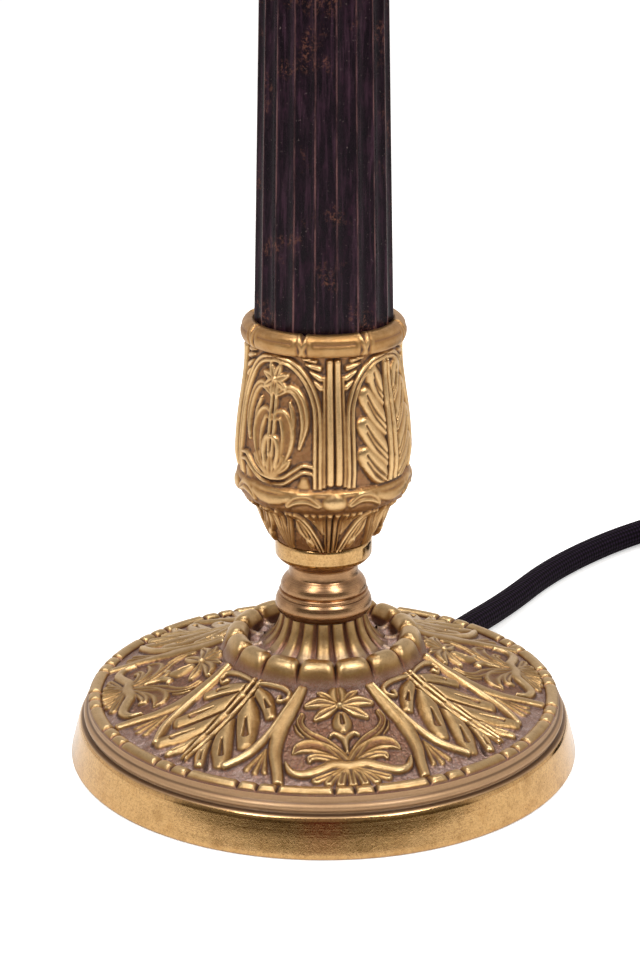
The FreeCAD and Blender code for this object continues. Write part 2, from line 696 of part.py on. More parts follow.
def make_holder():
    """A brass lampholder for an E27 lamp: cap, sleeve, porcelain insert, screw shell and contacts."""
    boss_top = f"({CAP_SEAT} + cap_boss_height)"
    dome_top = f"({boss_top} + cap_dome_height)"
    inside = "(holder_radius - holder_wall)"
    cap = turned("holder_cap", [
        (ROD_HOLE, CAP_SEAT),
        ("cap_boss_radius", CAP_SEAT),
        ("cap_boss_radius", boss_top, "cap_dome_bulge"),
        ("holder_radius", dome_top),
        ("holder_radius", SLEEVE_SEAT),
        (inside, SLEEVE_SEAT),
        (inside, f"{dome_top} + 0.3", "-cap_dome_bulge"),
        ("cap_boss_radius", f"{boss_top} + holder_wall"),
        (ROD_HOLE, f"{boss_top} + holder_wall"),
    ])
    drill(cap, "shaft_hole", "switch_shaft_radius + 0.3", "holder_wall + 4",
          f"{inside} - 2", "0", SWITCH_AXIS, Rotation(Vector(0, 0, 1), Vector(1, 0, 0)))
    shoulder_foot = f"({SLEEVE_SEAT} + sleeve_shoulder_height)"
    turned("holder_sleeve", [
        (inside, SLEEVE_SEAT),
        ("holder_radius", SLEEVE_SEAT),
        ("holder_radius", shoulder_foot),
        ("sleeve_shoulder_radius", shoulder_foot),
        ("sleeve_shoulder_radius", SHOULDER_TOP),
        ("holder_radius", SHOULDER_TOP),
        ("holder_radius", SLEEVE_TOP),
        (inside, SLEEVE_TOP),
    ])
    insert_radius = f"({inside} - insert_gap)"
    insert_top = f"({SLEEVE_TOP} - insert_headroom)"
    insert_bore = "(socket_radius + socket_wall + 0.1)"
    turned("holder_insert", [
        ("2", INSERT_FOOT),
        (insert_radius, INSERT_FOOT),
        (insert_radius, insert_top),
        (insert_bore, insert_top),
        (insert_bore, SHELL_FOOT),
        ("socket_radius - socket_ledge", SHELL_FOOT),
        ("socket_radius - socket_ledge", SOCKET_FLOOR),
        ("2", SOCKET_FLOOR),
    ])
    turned("screw_shell", [
        ("socket_radius", SHELL_FOOT),
        ("socket_radius + socket_wall", SHELL_FOOT),
        ("socket_radius + socket_wall", f"{SHELL_FOOT} + socket_length"),
        ("socket_radius", f"{SHELL_FOOT} + socket_length"),
    ])
    turned("centre_contact", [
        ("0", f"{SOCKET_FLOOR} - 3"),
        ("1.8", f"{SOCKET_FLOOR} - 3"),
        ("1.8", SOCKET_FLOOR),
        ("contact_radius", SOCKET_FLOOR),
        ("contact_radius", f"{SOCKET_FLOOR} + contact_height - 1", "0.3"),
        ("contact_radius / 3", f"{SOCKET_FLOOR} + contact_height"),
        ("0", f"{SOCKET_FLOOR} + contact_height"),
    ])
    screws = []
    for side in (1, -1):
        screws.append(primitive(
            "Part::Cylinder", f"terminal_screw_{len(screws)}", "0", f"{side} * terminal_screw_spread",
            f"{INSERT_FOOT} - terminal_screw_height",
            Radius="terminal_screw_radius", Height="terminal_screw_height"))
    group("terminal_screws", screws)


def make_shade_ring():
    """The ring that clamps a shade down on the sleeve's shoulder. It turns on the sleeve."""
    hole = "(holder_radius + shade_ring_gap)"
    low = f"({SHOULDER_TOP} + shade_ring_gap)"
    body = turned("shade_ring", [
        (hole, low),
        ("shade_ring_radius", low),
        ("shade_ring_radius", f"{low} + shade_ring_flange"),
        ("shade_ring_hub_radius", f"{low} + shade_ring_flange"),
        ("shade_ring_hub_radius", f"{low} + shade_ring_height - 0.5"),
        ("shade_ring_hub_radius - 0.5", f"{low} + shade_ring_height"),
        (hole, f"{low} + shade_ring_height"),
    ])
    notch = drill(body, "grip_notch", "shade_ring_notch_radius", "shade_ring_flange + 2",
                  "shade_ring_radius + 0.6", "0", f"{low} - 1")
    ring_pattern(body, notch, "shade_ring_notches")


def make_switch():
    """A turn switch in the cap: a block inside, and a shaft with a flat key outside."""
    along_x = Rotation(Vector(0, 0, 1), Vector(1, 0, 0))
    block = new_body("switch_block")
    box = block.newObject("PartDesign::AdditiveBox", "switch_box")
    bind(box, Length="switch_block_width", Width="switch_block_width",
         Height=f"{INSERT_FOOT} - {SWITCH_FOOT}")
    bind_place(box, "-switch_block_width / 2", "-switch_block_width / 2", SWITCH_FOOT)
    face = "(switch_block_width / 2)"
    drill(block, "shaft_bore", "switch_shaft_radius + switch_shaft_fit", "switch_shaft_bury + 0.5",
          f"{face} - switch_shaft_bury - 0.4", "0", SWITCH_AXIS, along_x)
    knob_face = "(holder_radius + switch_reach)"
    shaft = primitive("Part::Cylinder", "switch_shaft", f"{face} - switch_shaft_bury", "0", SWITCH_AXIS,
                      along_x, Radius="switch_shaft_radius",
                      Height=f"{knob_face} - {face} + switch_shaft_bury")
    shaft.Label = "switch_shaft"
    pieces.append(shaft)
    ferrule = primitive("Part::Cylinder", "knob_ferrule", f"{knob_face} - knob_ferrule_length / 2", "0",
                        SWITCH_AXIS, along_x, Radius="knob_ferrule_radius", Height="knob_ferrule_length")
    key = primitive("Part::Cylinder", "knob_key", f"{knob_face} + knob_radius", "knob_thickness / 2",
                    SWITCH_AXIS, Rotation(Vector(0, 0, 1), Vector(0, -1, 0)),
                    Radius="knob_radius", Height="knob_thickness")
    blank = doc.addObject("Part::Fuse", "knob_blank")
    blank.Base = ferrule
    blank.Tool = key
    bore = primitive("Part::Cylinder", "knob_bore", f"{knob_face} - knob_ferrule_length / 2 - 1", "0",
                     SWITCH_AXIS, along_x, Radius="switch_shaft_radius",
                     Height="knob_ferrule_length / 2 + 1")
    knob = doc.addObject("Part::Cut", "switch_knob")
    knob.Base = blank
    knob.Tool = bore
    knob.Label = "switch_knob"
    pieces.append(knob)


# ---- the cord -------------------------------------------------------------------

def cord_route():
    """The cord's points, from its end in the foot over the table to the start of the coil.

    Each is chosen by hand: along X, along Y and the height of the cord's middle.
    """
    way = Vector(*exit_direction())
    level = value("cord_exit_level")
    floor = value("cord_radius + floor_gap")
    outside = cord_outside()
    coil_in, coil_way = coil_entry()
    run_in = coil_in - coil_way * value("coil_run_in")
    return [
        way * value(CORD_START) + Vector(0, 0, level),
        outside + Vector(0, 0, level),
        outside + Vector(15.6, 27.2, floor),
        outside + Vector(30.3, 53.9, floor),
        outside + Vector(50.8, 78.8, floor),
        run_in,
        coil_in,
    ]


def tangent_path(points):
    """Straight runs joined by arcs that take 0.45 of the shorter run beside each point."""
    edges = []
    radii = []
    start = points[0]
    for before, corner, after in zip(points, points[1:], points[2:]):
        into = (corner - before).normalize()
        out = (after - corner).normalize()
        half_turn = into.getAngle(out) / 2
        cut = 0.45 * min((corner - before).Length, (after - corner).Length)
        radii.append(cut / math.tan(half_turn))
        arc_start = corner - into * cut
        arc_end = corner + out * cut
        inward = (out - into).normalize()
        middle = corner + inward * (radii[-1] / math.cos(half_turn) - radii[-1])
        edges.append(Part.LineSegment(start, arc_start).toShape())
        edges.append(Part.Arc(arc_start, middle, arc_end).toShape())
        start = arc_end
    edges.append(Part.LineSegment(start, points[-1]).toShape())
    return Part.Wire(edges), radii


def tube_along(path, start, way, radius):
    """A round tube along a path."""
    section = Part.Wire(Part.makeCircle(radius, start, way))
    tube = path.makePipeShell([section], True, False)
    expected = math.pi * radius**2 * path.Length
    if abs(tube.Volume / expected - 1) > 0.01:
        raise ValueError(f"the tube holds {tube.Volume:.0f} and should hold {expected:.0f} cubic mm")
    return tube


def coil_middle():
    level = value("cord_radius + tie_gap + tie_thickness + 0.1")
    return cord_outside() + Vector(value("coil_across"), value("coil_along"), level)


def coil_point(turns):
    """A point on the coil, that many turns along it.

    It spirals in on the table, climbs a layer in half a turn and spirals out on top.
    """
    wound = value("coil_turns")
    pitch = value("coil_pitch")
    inner = value("coil_inner_radius")
    angle = math.radians(value("coil_start_angle") - 360 * turns)
    if turns <= wound:
        radius = inner + pitch * (wound - turns)
        rise = 0
    elif turns <= wound + 0.5:
        past = turns - wound
        share = past / 0.5
        radius = inner - pitch * past * (1 - share)
        rise = pitch * share**2 * (3 - 2 * share)
    else:
        radius = inner + pitch * (turns - wound - 0.5)
        rise = pitch
    return coil_middle() + Vector(radius * math.cos(angle), radius * math.sin(angle), rise)


def coil_way(turns):
    """The way the coil runs at that point."""
    step = 1e-5
    last = 2 * value("coil_turns") + 0.5
    ahead = coil_point(min(turns + step, last))
    behind = coil_point(max(turns - step, 0))
    way = ahead - behind
    level_ends = (0, value("coil_turns"), value("coil_turns") + 0.5, last)
    if turns in level_ends:
        way.z = 0
    return way.normalize()


def coil_entry():
    """Where the coil takes the cord over, one tube diameter before its first turn, and the way in."""
    way = coil_way(0)
    return coil_point(0) - way * value("2 * cord_radius"), way


def coil_leaving():
    """Where the coil ends, one tube diameter past its last turn, and the way out."""
    last = 2 * value("coil_turns") + 0.5
    way = coil_way(last)
    return coil_point(last) + way * value("2 * cord_radius"), way


def arc_through(start, corner, end):
    """The arc from start to end that touches both legs to the corner, which are as long as each other."""
    half_chord = (end - start).Length / 2
    middle = (start + end) / 2
    sagitta = half_chord * math.tan(math.acos(min(1.0, half_chord / (corner - start).Length)) / 2)
    if sagitta < 1e-6:
        return Part.LineSegment(start, end).toShape()
    top = middle + (corner - middle).normalize() * sagitta
    return Part.Arc(start, top, end).toShape()


def biarc(start, way_in, end, way_out):
    """Two arcs that leave start and reach end in the given ways."""
    chord = end - start
    ways = way_in + way_out
    spread = 2 * (1 - way_in.dot(way_out))
    across = chord.dot(ways)
    leg = (-across + math.sqrt(across**2 + spread * chord.dot(chord))) / spread
    first_corner = start + way_in * leg
    second_corner = end - way_out * leg
    joint = (first_corner + second_corner) / 2
    return [arc_through(start, first_corner, joint), arc_through(joint, second_corner, end)]


def make_coil():
    """The put-away length: two layers of turns, one unbroken tube."""
    last = 2 * value("coil_turns") + 0.5
    start, way = coil_entry()
    end, _ = coil_leaving()
    stops = [0.25 * quarter for quarter in range(int(round(last * 4)) + 1)]
    edges = [Part.LineSegment(start, coil_point(0)).toShape()]
    for here, there in zip(stops, stops[1:]):
        edges += biarc(coil_point(here), coil_way(here), coil_point(there), coil_way(there))
    edges.append(Part.LineSegment(coil_point(last), end).toShape())
    path = Part.Wire(edges)
    print(f"coil length {path.Length:.0f} mm, least gap to itself {least_gap(last):.2f} mm")
    tube = add_shape("cord_coil", tube_along(path, start, way, value("cord_radius")))
    return tube


def least_gap(last):
    """The least gap between one turn of the coil and the next ones, measured on points."""
    steps = 120
    points = [coil_point(step / steps) for step in range(int(last * steps) + 1)]
    nearest = min((a - b).Length for i, a in enumerate(points) for b in points[i + steps // 2:])
    return nearest - value("2 * cord_radius")


def add_shape(label, shape, place=Placement()):
    item = doc.addObject("Part::Feature", label)
    item.Shape = shape
    item.Label = label
    item.Placement = place
    pieces.append(item)
    return item


def make_cord():
    points = cord_route()
    path, radii = tangent_path(points)
    way = (points[1] - points[0]).normalize()
    add_shape("power_cord", tube_along(path, points[0], way, value("cord_radius")))
    print("cord radii", ", ".join(f"{radius:.0f}" for radius in radii), f"mm, length {path.Length:.0f} mm")


def make_cord_fittings():
    """The bushing in the rim, and the terminal block and the clamp in the ballast's slot."""
    outward = Rotation(Vector(0, 0, 1), Vector(*exit_direction()))
    upright = Rotation(Vector(0, 0, 1), value("cord_exit_angle"))
    ways = ("cos(cord_exit_angle)", "sin(cord_exit_angle)")
    bushing = turned("cord_bushing", [
        ("cord_radius", "0"),
        ("cord_radius + bushing_wall", "0"),
        ("cord_radius + bushing_wall", RIM_DEPTH),
        ("cord_radius + bushing_wall + bushing_flange", RIM_DEPTH),
        ("cord_radius + 0.4", f"{RIM_DEPTH} + bushing_stand_out"),
        ("cord_radius", f"{RIM_DEPTH} + bushing_stand_out"),
    ])
    bushing.Placement = Placement(Vector(), outward)
    bind_place(bushing, f"{FOOT_INSIDE} * {ways[0]}", f"{FOOT_INSIDE} * {ways[1]}", "cord_exit_level")

    block = new_body("terminal_block")
    box = block.newObject("PartDesign::AdditiveBox", "terminal_box")
    bind(box, Length="terminal_block_length", Width="terminal_block_width", Height="nut_recess_height - 0.4")
    block.Placement = Placement(Vector(), upright)
    near = f"({CORD_START} - terminal_block_length)"
    half = "terminal_block_width / 2"
    bind_place(block, f"{near} * {ways[0]} + {half} * {ways[1]}", f"{near} * {ways[1]} - {half} * {ways[0]}",
               BALLAST_FLOOR)

    clamp = new_body("cord_clamp")
    saddle = clamp.newObject("PartDesign::AdditiveBox", "clamp_saddle")
    bind(saddle, Length="clamp_length", Width="terminal_block_width", Height="nut_recess_height - 0.1")
    bind_place(saddle, "0", f"-{half}", "0")
    bore = drill(clamp, "clamp_bore", "cord_radius", "clamp_length + 2", "-1", "0",
                 f"cord_exit_level - {BALLAST_FLOOR}", Rotation(Vector(0, 0, 1), Vector(1, 0, 0)))
    clamp.Tip = bore
    clamp.Placement = Placement(Vector(), upright)
    near = f"({CORD_START} + 1)"
    bind_place(clamp, f"{near} * {ways[0]}", f"{near} * {ways[1]}", BALLAST_FLOOR)


def make_tie():
    """A strap round the coil's turns. It is long enough for both layers and lies under the lower one."""
    turns_at = (value("coil_start_angle") - value("tie_angle") + 360) % 360 / 360
    outer = (coil_point(turns_at) - coil_middle()).Length
    inner = outer - value("coil_pitch * (coil_turns - 1)")
    low = coil_middle().z - value("cord_radius + tie_gap")
    high = low + value("coil_pitch + 2 * cord_radius + 2 * tie_gap")
    thickness = value("tie_thickness")
    width = value("tie_width")
    side = value("cord_radius + tie_side_gap")
    reach = outer - inner + 2 * side
    inside = Part.makeBox(reach, width, high - low, Vector(inner - side, -width / 2, low))
    outside = Part.makeBox(reach + 2 * thickness, width, high - low + 2 * thickness,
                           Vector(inner - side - thickness, -width / 2, low - thickness))
    corners = [edge for edge in outside.Edges if abs(edge.tangentAt(0).y) > 0.5]
    strap = outside.makeFillet(2 * thickness, corners)
    rounded = [edge for edge in inside.Edges if abs(edge.tangentAt(0).y) > 0.5]
    strap = strap.cut(inside.makeFillet(thickness, rounded))
    turned_to = Rotation(Vector(0, 0, 1), value("tie_angle"))
    place = Placement(Vector(coil_middle().x, coil_middle().y, 0), turned_to)
    add_shape("cord_tie", strap, place)


def make_plug():
    """A tapered guard, the plug's body and its pins, on the end of the coil."""
    place, way = coil_leaving()
    turn = Rotation(Vector(0, 0, 1), way)
    body_radius = f"({place.z} - floor_gap)"
    guard = turned("plug_guard", [
        ("cord_radius - 0.6", "0"),
        ("cord_radius + guard_wall", "0"),
        ("cord_radius + guard_foot_wall", "guard_length"),
        ("cord_radius - 0.6", "guard_length"),
    ])
    guard.Placement = Placement(place, turn)
    far = "(guard_length + plug_length)"
    plug = turned("plug_body", [
        ("0", "guard_length"),
        ("cord_radius + guard_foot_wall", "guard_length"),
        (f"{body_radius} - plug_waist", "guard_length + 6", "-0.5"),
        (body_radius, f"{far} - 8"),
        (body_radius, far),
        ("0", far),
    ])
    plug.Placement = Placement(place, turn)
    pins = []
    for number in range(int(value("pin_count"))):
        around = 360 / value("pin_count") * number
        pin = primitive("Part::Cylinder", f"pin_{number}", f"pin_circle * cos({around})",
                        f"pin_circle * sin({around})", far, Radius="pin_radius", Height="pin_length")
        pins.append(pin)
    pin_group = group("plug_pins", pins)
    pin_group.Placement = Placement(place, turn)


def write_pieces():
    """Check every object and write each piece to its own file."""
    doc.recompute()
    for item in doc.Objects:
        if "Invalid" in item.State or "Error" in item.State:
            raise ValueError(f"{item.Label} failed: {item.State}")
    os.makedirs("parts", exist_ok=True)
    for piece in pieces:
        if piece.Shape.isNull() or not piece.Shape.isValid():
            raise ValueError(f"{piece.Label} has no good shape")
        piece.Shape.exportStep(f"parts/{piece.Label}.step")
    print(len(pieces), "pieces written")


LOBE_PHASE = value("ornament_phase + 180 / lobe_count - 90")

make_rim()
make_underside()
make_ballast()
make_casting()
make_collar()
make_plain_ring()
make_basket()
make_column()
make_capital()
make_rod()
make_holder()
make_shade_ring()
make_switch()
make_cord()
make_coil()
make_cord_fittings()
make_tie()
make_plug()
write_pieces()
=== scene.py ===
import math

import bpy
import numpy as np
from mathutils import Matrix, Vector


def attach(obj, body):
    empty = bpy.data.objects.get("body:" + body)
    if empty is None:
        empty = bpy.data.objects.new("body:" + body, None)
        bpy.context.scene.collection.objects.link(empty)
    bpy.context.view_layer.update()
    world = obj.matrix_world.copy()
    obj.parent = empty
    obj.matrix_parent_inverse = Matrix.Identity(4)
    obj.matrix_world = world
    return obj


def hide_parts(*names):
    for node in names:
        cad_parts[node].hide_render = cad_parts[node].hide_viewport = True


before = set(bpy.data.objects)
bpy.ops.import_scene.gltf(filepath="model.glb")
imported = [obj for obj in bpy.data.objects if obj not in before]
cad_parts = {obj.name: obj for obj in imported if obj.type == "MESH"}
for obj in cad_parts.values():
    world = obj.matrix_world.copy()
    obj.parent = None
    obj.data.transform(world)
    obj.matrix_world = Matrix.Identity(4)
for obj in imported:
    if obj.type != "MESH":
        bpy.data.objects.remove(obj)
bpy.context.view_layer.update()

# A column table lamp: a relief-cast gilt foot in a polished rim, a turned
# collar, a cast basket and a fluted lacquered column, with a capital, a drip
# pan and a lampholder. Sizes are in millimetres, in the same frame as the CAD,
# and they are turned into metres where a mesh is written.

MM = 0.001
QUARTER = math.radians(90)
ORNAMENT_PHASE = math.radians(7.2)      # the foot's flower panel, from the front towards +X
BORDER_GROUPS, BORDER_RADIUS = 16, 58.5     # groups of beads in the foot's border
EGGS = 16                               # round the foot's flare
GADROONS = 18                           # on the foot's flare
PILASTER = math.radians(7.4)            # the basket's pilaster, from the front towards +X
BODY_RADIUS = 20.5                      # the basket's arches are drawn flat on a cylinder of this radius
LEDGE_FOOT, BODY_FOOT, BODY_TOP = 70.2, 76.4, 109.3     # heights that part the basket's relief
ARCH_INSIDE = 11.0                      # half the width inside an arch's moulding
TORUS_BARS = 8                          # on the tori of the basket and the capital
FLUTES, FLUTE_PHASE = 20, math.radians(10.8)
CAPITAL_LEAVES, CAPITAL_RADIUS = 16, 14.5
CORD_RADIUS = 3.65
CORD_PICK, CORD_STRANDS = 2.6, 9.0      # one pick's length in mm, and the strands each way round


# ---- small helpers ---------------------------------------------------------------

def paint(code):
    """A colour written as sRGB hex, as the linear values that a socket takes."""
    parts = [int(code[i:i + 2], 16) / 255 for i in (0, 2, 4)]
    return tuple(c / 12.92 if c <= 0.04045 else ((c + 0.055) / 1.055) ** 2.4 for c in parts) + (1.0,)


def grain(size):
    """The scale that gives a pattern patches of that size in millimetres."""
    return 1 / (size * MM)


def add(tree, kind, inputs, out=0, stops=(), **settings):
    """Add a node, or feed one that is there already, and give one of its outputs.

    Its inputs are values, or the sockets that feed them. Stops are a ramp's (place, sRGB hex) colours.
    """
    node = tree.nodes.new("ShaderNode" + kind) if isinstance(kind, str) else kind
    for name, setting in settings.items():
        setattr(node, name, setting)
    for _ in stops[2:]:
        node.color_ramp.elements.new(0.5)
    for element, (place, code) in zip(node.color_ramp.elements if stops else (), stops):
        element.position = place
        element.color = paint(code)
    for name, given in inputs.items():
        if isinstance(given, bpy.types.NodeSocket):
            tree.links.new(given, node.inputs[name])
        else:
            node.inputs[name].default_value = given
    return node.outputs[out]


def new_finish(name):
    """A new material with its nodes, its shader, and the object's own coordinates."""
    finish = bpy.data.materials.new(name)
    finish.use_nodes = True
    tree = finish.node_tree
    return finish, tree, tree.nodes["Principled BSDF"], add(tree, "TexCoord", {}, out="Object")


# ---- materials -------------------------------------------------------------------
# A MapRange node's inputs are the value, the range it has, and the range it gets. A colour Mix node's
# are the share at 0, and the two colours at 6 and 7, and its colour comes out at 2.

def make_polished_brass():
    # Spun yellow brass, buffed and lacquered: a clear mirror with faint turning lines, fine scratches
    # and tiny pits. Above the band, where the rim was never buffed, it is dull and pinkish.
    finish, tree, shader, where = new_finish("polished_yellow_brass")
    dull = add(tree, "Attribute", {}, out="Fac", attribute_name="dusty")
    shade_and_grime = add(tree, "Attribute", {}, out="Fac", attribute_name="hollow_shade_and_grime")
    turned = add(tree, "Mapping", {"Vector": where, "Scale": (0.05, 0.05, 9.0)})
    lines = add(tree, "TexNoise", {"Vector": turned, "Scale": grain(2.4), "Detail": 4, "Roughness": 0.55})
    patches = add(tree, "TexNoise", {"Vector": where, "Scale": grain(7), "Detail": 5, "Roughness": 0.7})
    slanted = add(tree, "Mapping", {"Vector": where, "Rotation": (0.3, 0.5, 0.7), "Scale": (1.0, 0.08, 1.0)})
    scratches = add(tree, "TexNoise", {"Vector": slanted, "Scale": grain(0.7), "Detail": 3, "Roughness": 0.6})
    fine = add(tree, "TexNoise", {"Vector": where, "Scale": grain(0.55), "Detail": 4, "Roughness": 0.75})
    dots = add(tree, "TexNoise", {"Vector": where, "Scale": grain(0.8), "Detail": 2, "Roughness": 0.7})
    pits = add(tree, "MapRange", {0: dots, 1: 0.70, 2: 0.74})
    body = add(tree, "ValToRGB", {0: patches}, stops=[(0.3, "BA8F58"), (0.5, "D0A870"), (0.72, "A67F4C")])
    for share, code in ((add(tree, "MapRange", {0: lines, 1: 0.4, 2: 0.7, 4: 0.3}), "B08A58"),
                        (add(tree, "MapRange", {0: fine, 1: 0.46, 2: 0.68, 4: 0.6}), "7F5C3A"),
                        (add(tree, "MapRange", {0: pits, 4: 0.7}), "5A3B22"),
                        (add(tree, "MapRange", {0: dull, 4: 0.8}), "A98868"),
                        # the grooves are darkened here: painted shade with grime
                        (add(tree, "MapRange", {0: shade_and_grime, 1: 0.2, 4: 0.85}), "3A2419")):
        body = add(tree, "Mix", {0: share, 6: body, 7: paint(code)}, out=2, data_type="RGBA")
    rubbed = add(tree, "MapRange", {0: fine, 1: 0.3, 2: 0.8, 4: 0.5})
    scored = add(tree, "MapRange", {0: scratches, 1: 0.55, 2: 0.75, 4: 0.4})
    height = add(tree, "Math", {0: rubbed, 1: scored}, operation="ADD")
    height = add(tree, "Math", {0: height, 1: pits}, operation="SUBTRACT")
    buffed = add(tree, "MapRange", {0: lines, 1: 0.3, 2: 0.75, 3: 0.08, 4: 0.2})
    add(tree, shader, {
        "Base Color": body, "Metallic": add(tree, "MapRange", {0: dull, 3: 1.0, 4: 0.75}),
        "Roughness": add(tree, "Math", {0: dull, 1: 0.34, 2: buffed}, operation="MULTIPLY_ADD"),
        "Normal": add(tree, "Bump", {"Height": height, "Distance": 0.03 * MM, "Strength": 0.35}),
        "Coat Weight": 0.2, "Coat Roughness": 0.06})
    return finish


def make_cast_brass(name, high, middle, low, dust, dust_share, ground):
    # Sand-cast brass, gilt and then darkened: crests lighter and hollows browner, partly worn gilding and
    # partly painted highlight and painted shade, dust that has settled on the ground between the ornaments,
    # and a fine granular skin. The sand's grains are 0.2 mm, and are drawn two to four times as coarse,
    # so that they show.
    finish, tree, shader, where = new_finish(name)
    relief, hollow_shade_and_grime, dusty = (add(tree, "Attribute", {}, out="Fac", attribute_name=kept)
                              for kept in ("relief", "hollow_shade_and_grime", "dusty"))
    speckle = add(tree, "TexNoise", {"Vector": where, "Scale": grain(0.45), "Detail": 4, "Roughness": 0.75})
    mottle = add(tree, "TexNoise", {"Vector": where, "Scale": grain(3.2), "Detail": 4, "Roughness": 0.6})
    grains = add(tree, "TexNoise", {"Vector": where, "Scale": grain(0.33), "Detail": 3, "Roughness": 0.8})
    grit = add(tree, "TexVoronoi", {"Vector": where, "Scale": grain(0.75)}, out="Distance")
    uneven = add(tree, "MapRange", {0: mottle, 1: 0.25, 2: 0.75, 3: -0.12, 4: 0.12})
    lift = add(tree, "Math", {0: relief, 1: uneven}, operation="ADD")
    # Lighter on the crests and browner in the hollows: worn gilding with painted highlight and painted shade.
    body = add(tree, "ValToRGB", {0: lift}, stops=[(0.0, low), (0.32, middle), (0.8, high)])
    spots = add(tree, "MapRange", {0: speckle, 1: 0.52, 2: 0.72, 4: 0.45})
    body = add(tree, "Mix", {0: spots, 6: body, 7: paint(low)}, out=2, data_type="RGBA")
    on_ground = add(tree, "MapRange", {0: relief, 1: 0.05, 2: 0.3, 3: 1, 4: 0})
    stipple = add(tree, "MapRange", {0: speckle, 1: 0.47, 2: 0.6, 4: 0.85})
    stipple = add(tree, "Math", {0: on_ground, 1: stipple}, operation="MULTIPLY")
    body = add(tree, "Mix", {0: stipple, 6: body, 7: paint(ground)}, out=2, data_type="RGBA")
    in_grains = add(tree, "MapRange", {0: grains, 1: 0.4, 2: 0.62, 3: 0.25, 4: 1})
    in_patches = add(tree, "MapRange", {0: mottle, 1: 0.3, 2: 0.6, 3: 0.45, 4: 1})
    settled = add(tree, "Math", {0: in_grains, 1: in_patches}, operation="MULTIPLY")
    settled = add(tree, "MapRange", {0: settled, 4: dust_share})
    settled = add(tree, "Math", {0: dusty, 1: settled}, operation="MULTIPLY")
    wiped = add(tree, "MapRange", {0: hollow_shade_and_grime, 1: 0.3, 2: 0.8, 3: 1, 4: 0.3})
    settled = add(tree, "Math", {0: settled, 1: wiped}, operation="MULTIPLY")
    # Darker brown in the hollows: painted shade with grime.
    shade_and_grime = add(tree, "MapRange", {0: hollow_shade_and_grime, 1: 0.3, 2: 0.95, 4: 0.85})
    body = add(tree, "Mix", {0: shade_and_grime, 6: body, 7: paint("37241B")}, out=2, data_type="RGBA")
    body = add(tree, "Mix", {0: settled, 6: body, 7: paint(dust)}, out=2, data_type="RGBA")
    tarnish = add(tree, "MapRange", {0: hollow_shade_and_grime, 1: 0.2, 2: 0.8, 4: 0.8})
    dull = add(tree, "Math", {0: settled, 1: tarnish}, operation="MAXIMUM")
    skin = add(tree, "MapRange", {0: relief, 1: 0.15, 2: 0.6, 3: 1.0, 4: 0.15})
    skin = add(tree, "Math", {0: grit, 1: skin}, operation="MULTIPLY")
    skin = add(tree, "Math", {0: skin, 1: speckle}, operation="ADD")
    add(tree, shader, {
        "Base Color": body, "Metallic": add(tree, "MapRange", {0: dull, 3: 1.0, 4: 0.25}),
        "Roughness": add(tree, "MapRange", {0: lift, 1: 0.05, 2: 0.8, 3: 0.48, 4: 0.3}),
        "Normal": add(tree, "Bump", {"Height": skin, "Distance": 0.07 * MM, "Strength": 0.6})})
    return finish


def make_bronzed_brass():
    # Turned brass, chemically browned and waxed: satin, with a reddish tint and light handling marks.
    finish, tree, shader, where = new_finish("bronzed_turned_brass")
    turned = add(tree, "Mapping", {"Vector": where, "Scale": (0.08, 0.08, 6.0)})
    lines = add(tree, "TexNoise", {"Vector": turned, "Scale": grain(1.2), "Detail": 4, "Roughness": 0.55})
    patches = add(tree, "TexNoise", {"Vector": where, "Scale": grain(4.5), "Detail": 4, "Roughness": 0.55})
    hollow_shade_and_grime = add(tree, "Attribute", {}, out="Fac", attribute_name="hollow_shade_and_grime")
    # Darker in the hollows: painted shade with grime.
    shade_and_grime = add(tree, "MapRange", {0: hollow_shade_and_grime, 1: 0.1, 2: 0.8, 4: 0.8})
    body = add(tree, "ValToRGB", {0: patches}, stops=[(0.3, "8C6A4C"), (0.55, "AE8863"), (0.75, "9A7454")])
    add(tree, shader, {
        "Base Color": add(tree, "Mix", {0: shade_and_grime, 6: body, 7: paint("40281C")}, out=2, data_type="RGBA"),
        "Metallic": 1.0, "Roughness": add(tree, "MapRange", {0: lines, 1: 0.3, 2: 0.7, 3: 0.22, 4: 0.34}),
        "Normal": add(tree, "Bump", {"Height": lines, "Distance": 0.03 * MM, "Strength": 0.4})})
    return finish


def make_holder_brass():
    # Spun brass of the lampholder and the drip pan, lacquered: even, slightly satin, with turning lines.
    finish, tree, shader, where = new_finish("spun_lacquered_brass")
    turned = add(tree, "Mapping", {"Vector": where, "Scale": (0.05, 0.05, 8.0)})
    lines = add(tree, "TexNoise", {"Vector": turned, "Scale": grain(1.0), "Detail": 4, "Roughness": 0.55})
    patches = add(tree, "TexNoise", {"Vector": where, "Scale": grain(9), "Detail": 3, "Roughness": 0.55})
    add(tree, shader, {
        "Base Color": add(tree, "ValToRGB", {0: patches}, stops=[(0.3, "C09A52"), (0.7, "CDA962")]),
        "Metallic": 1.0, "Roughness": add(tree, "MapRange", {0: lines, 1: 0.3, 2: 0.7, 3: 0.2, 4: 0.32}),
        "Normal": add(tree, "Bump", {"Height": lines, "Distance": 0.02 * MM, "Strength": 0.4}),
        "Coat Weight": 0.2, "Coat Roughness": 0.12})
    return finish


def make_contact_brass():
    # Pressed bright brass sheet, unlacquered, with faint drawing marks.
    finish, tree, shader, where = new_finish("pressed_bright_brass")
    marks = add(tree, "TexNoise", {"Vector": where, "Scale": grain(1.5), "Detail": 4, "Roughness": 0.55})
    add(tree, shader, {
        "Base Color": add(tree, "ValToRGB", {0: marks}, stops=[(0.3, "C8A45C"), (0.7, "DBBB78")]),
        "Metallic": 1.0, "Roughness": add(tree, "MapRange", {0: marks, 1: 0.3, 2: 0.7, 3: 0.22, 4: 0.36}),
        "Normal": add(tree, "Bump", {"Height": marks, "Distance": 0.02 * MM, "Strength": 0.4})})
    return finish


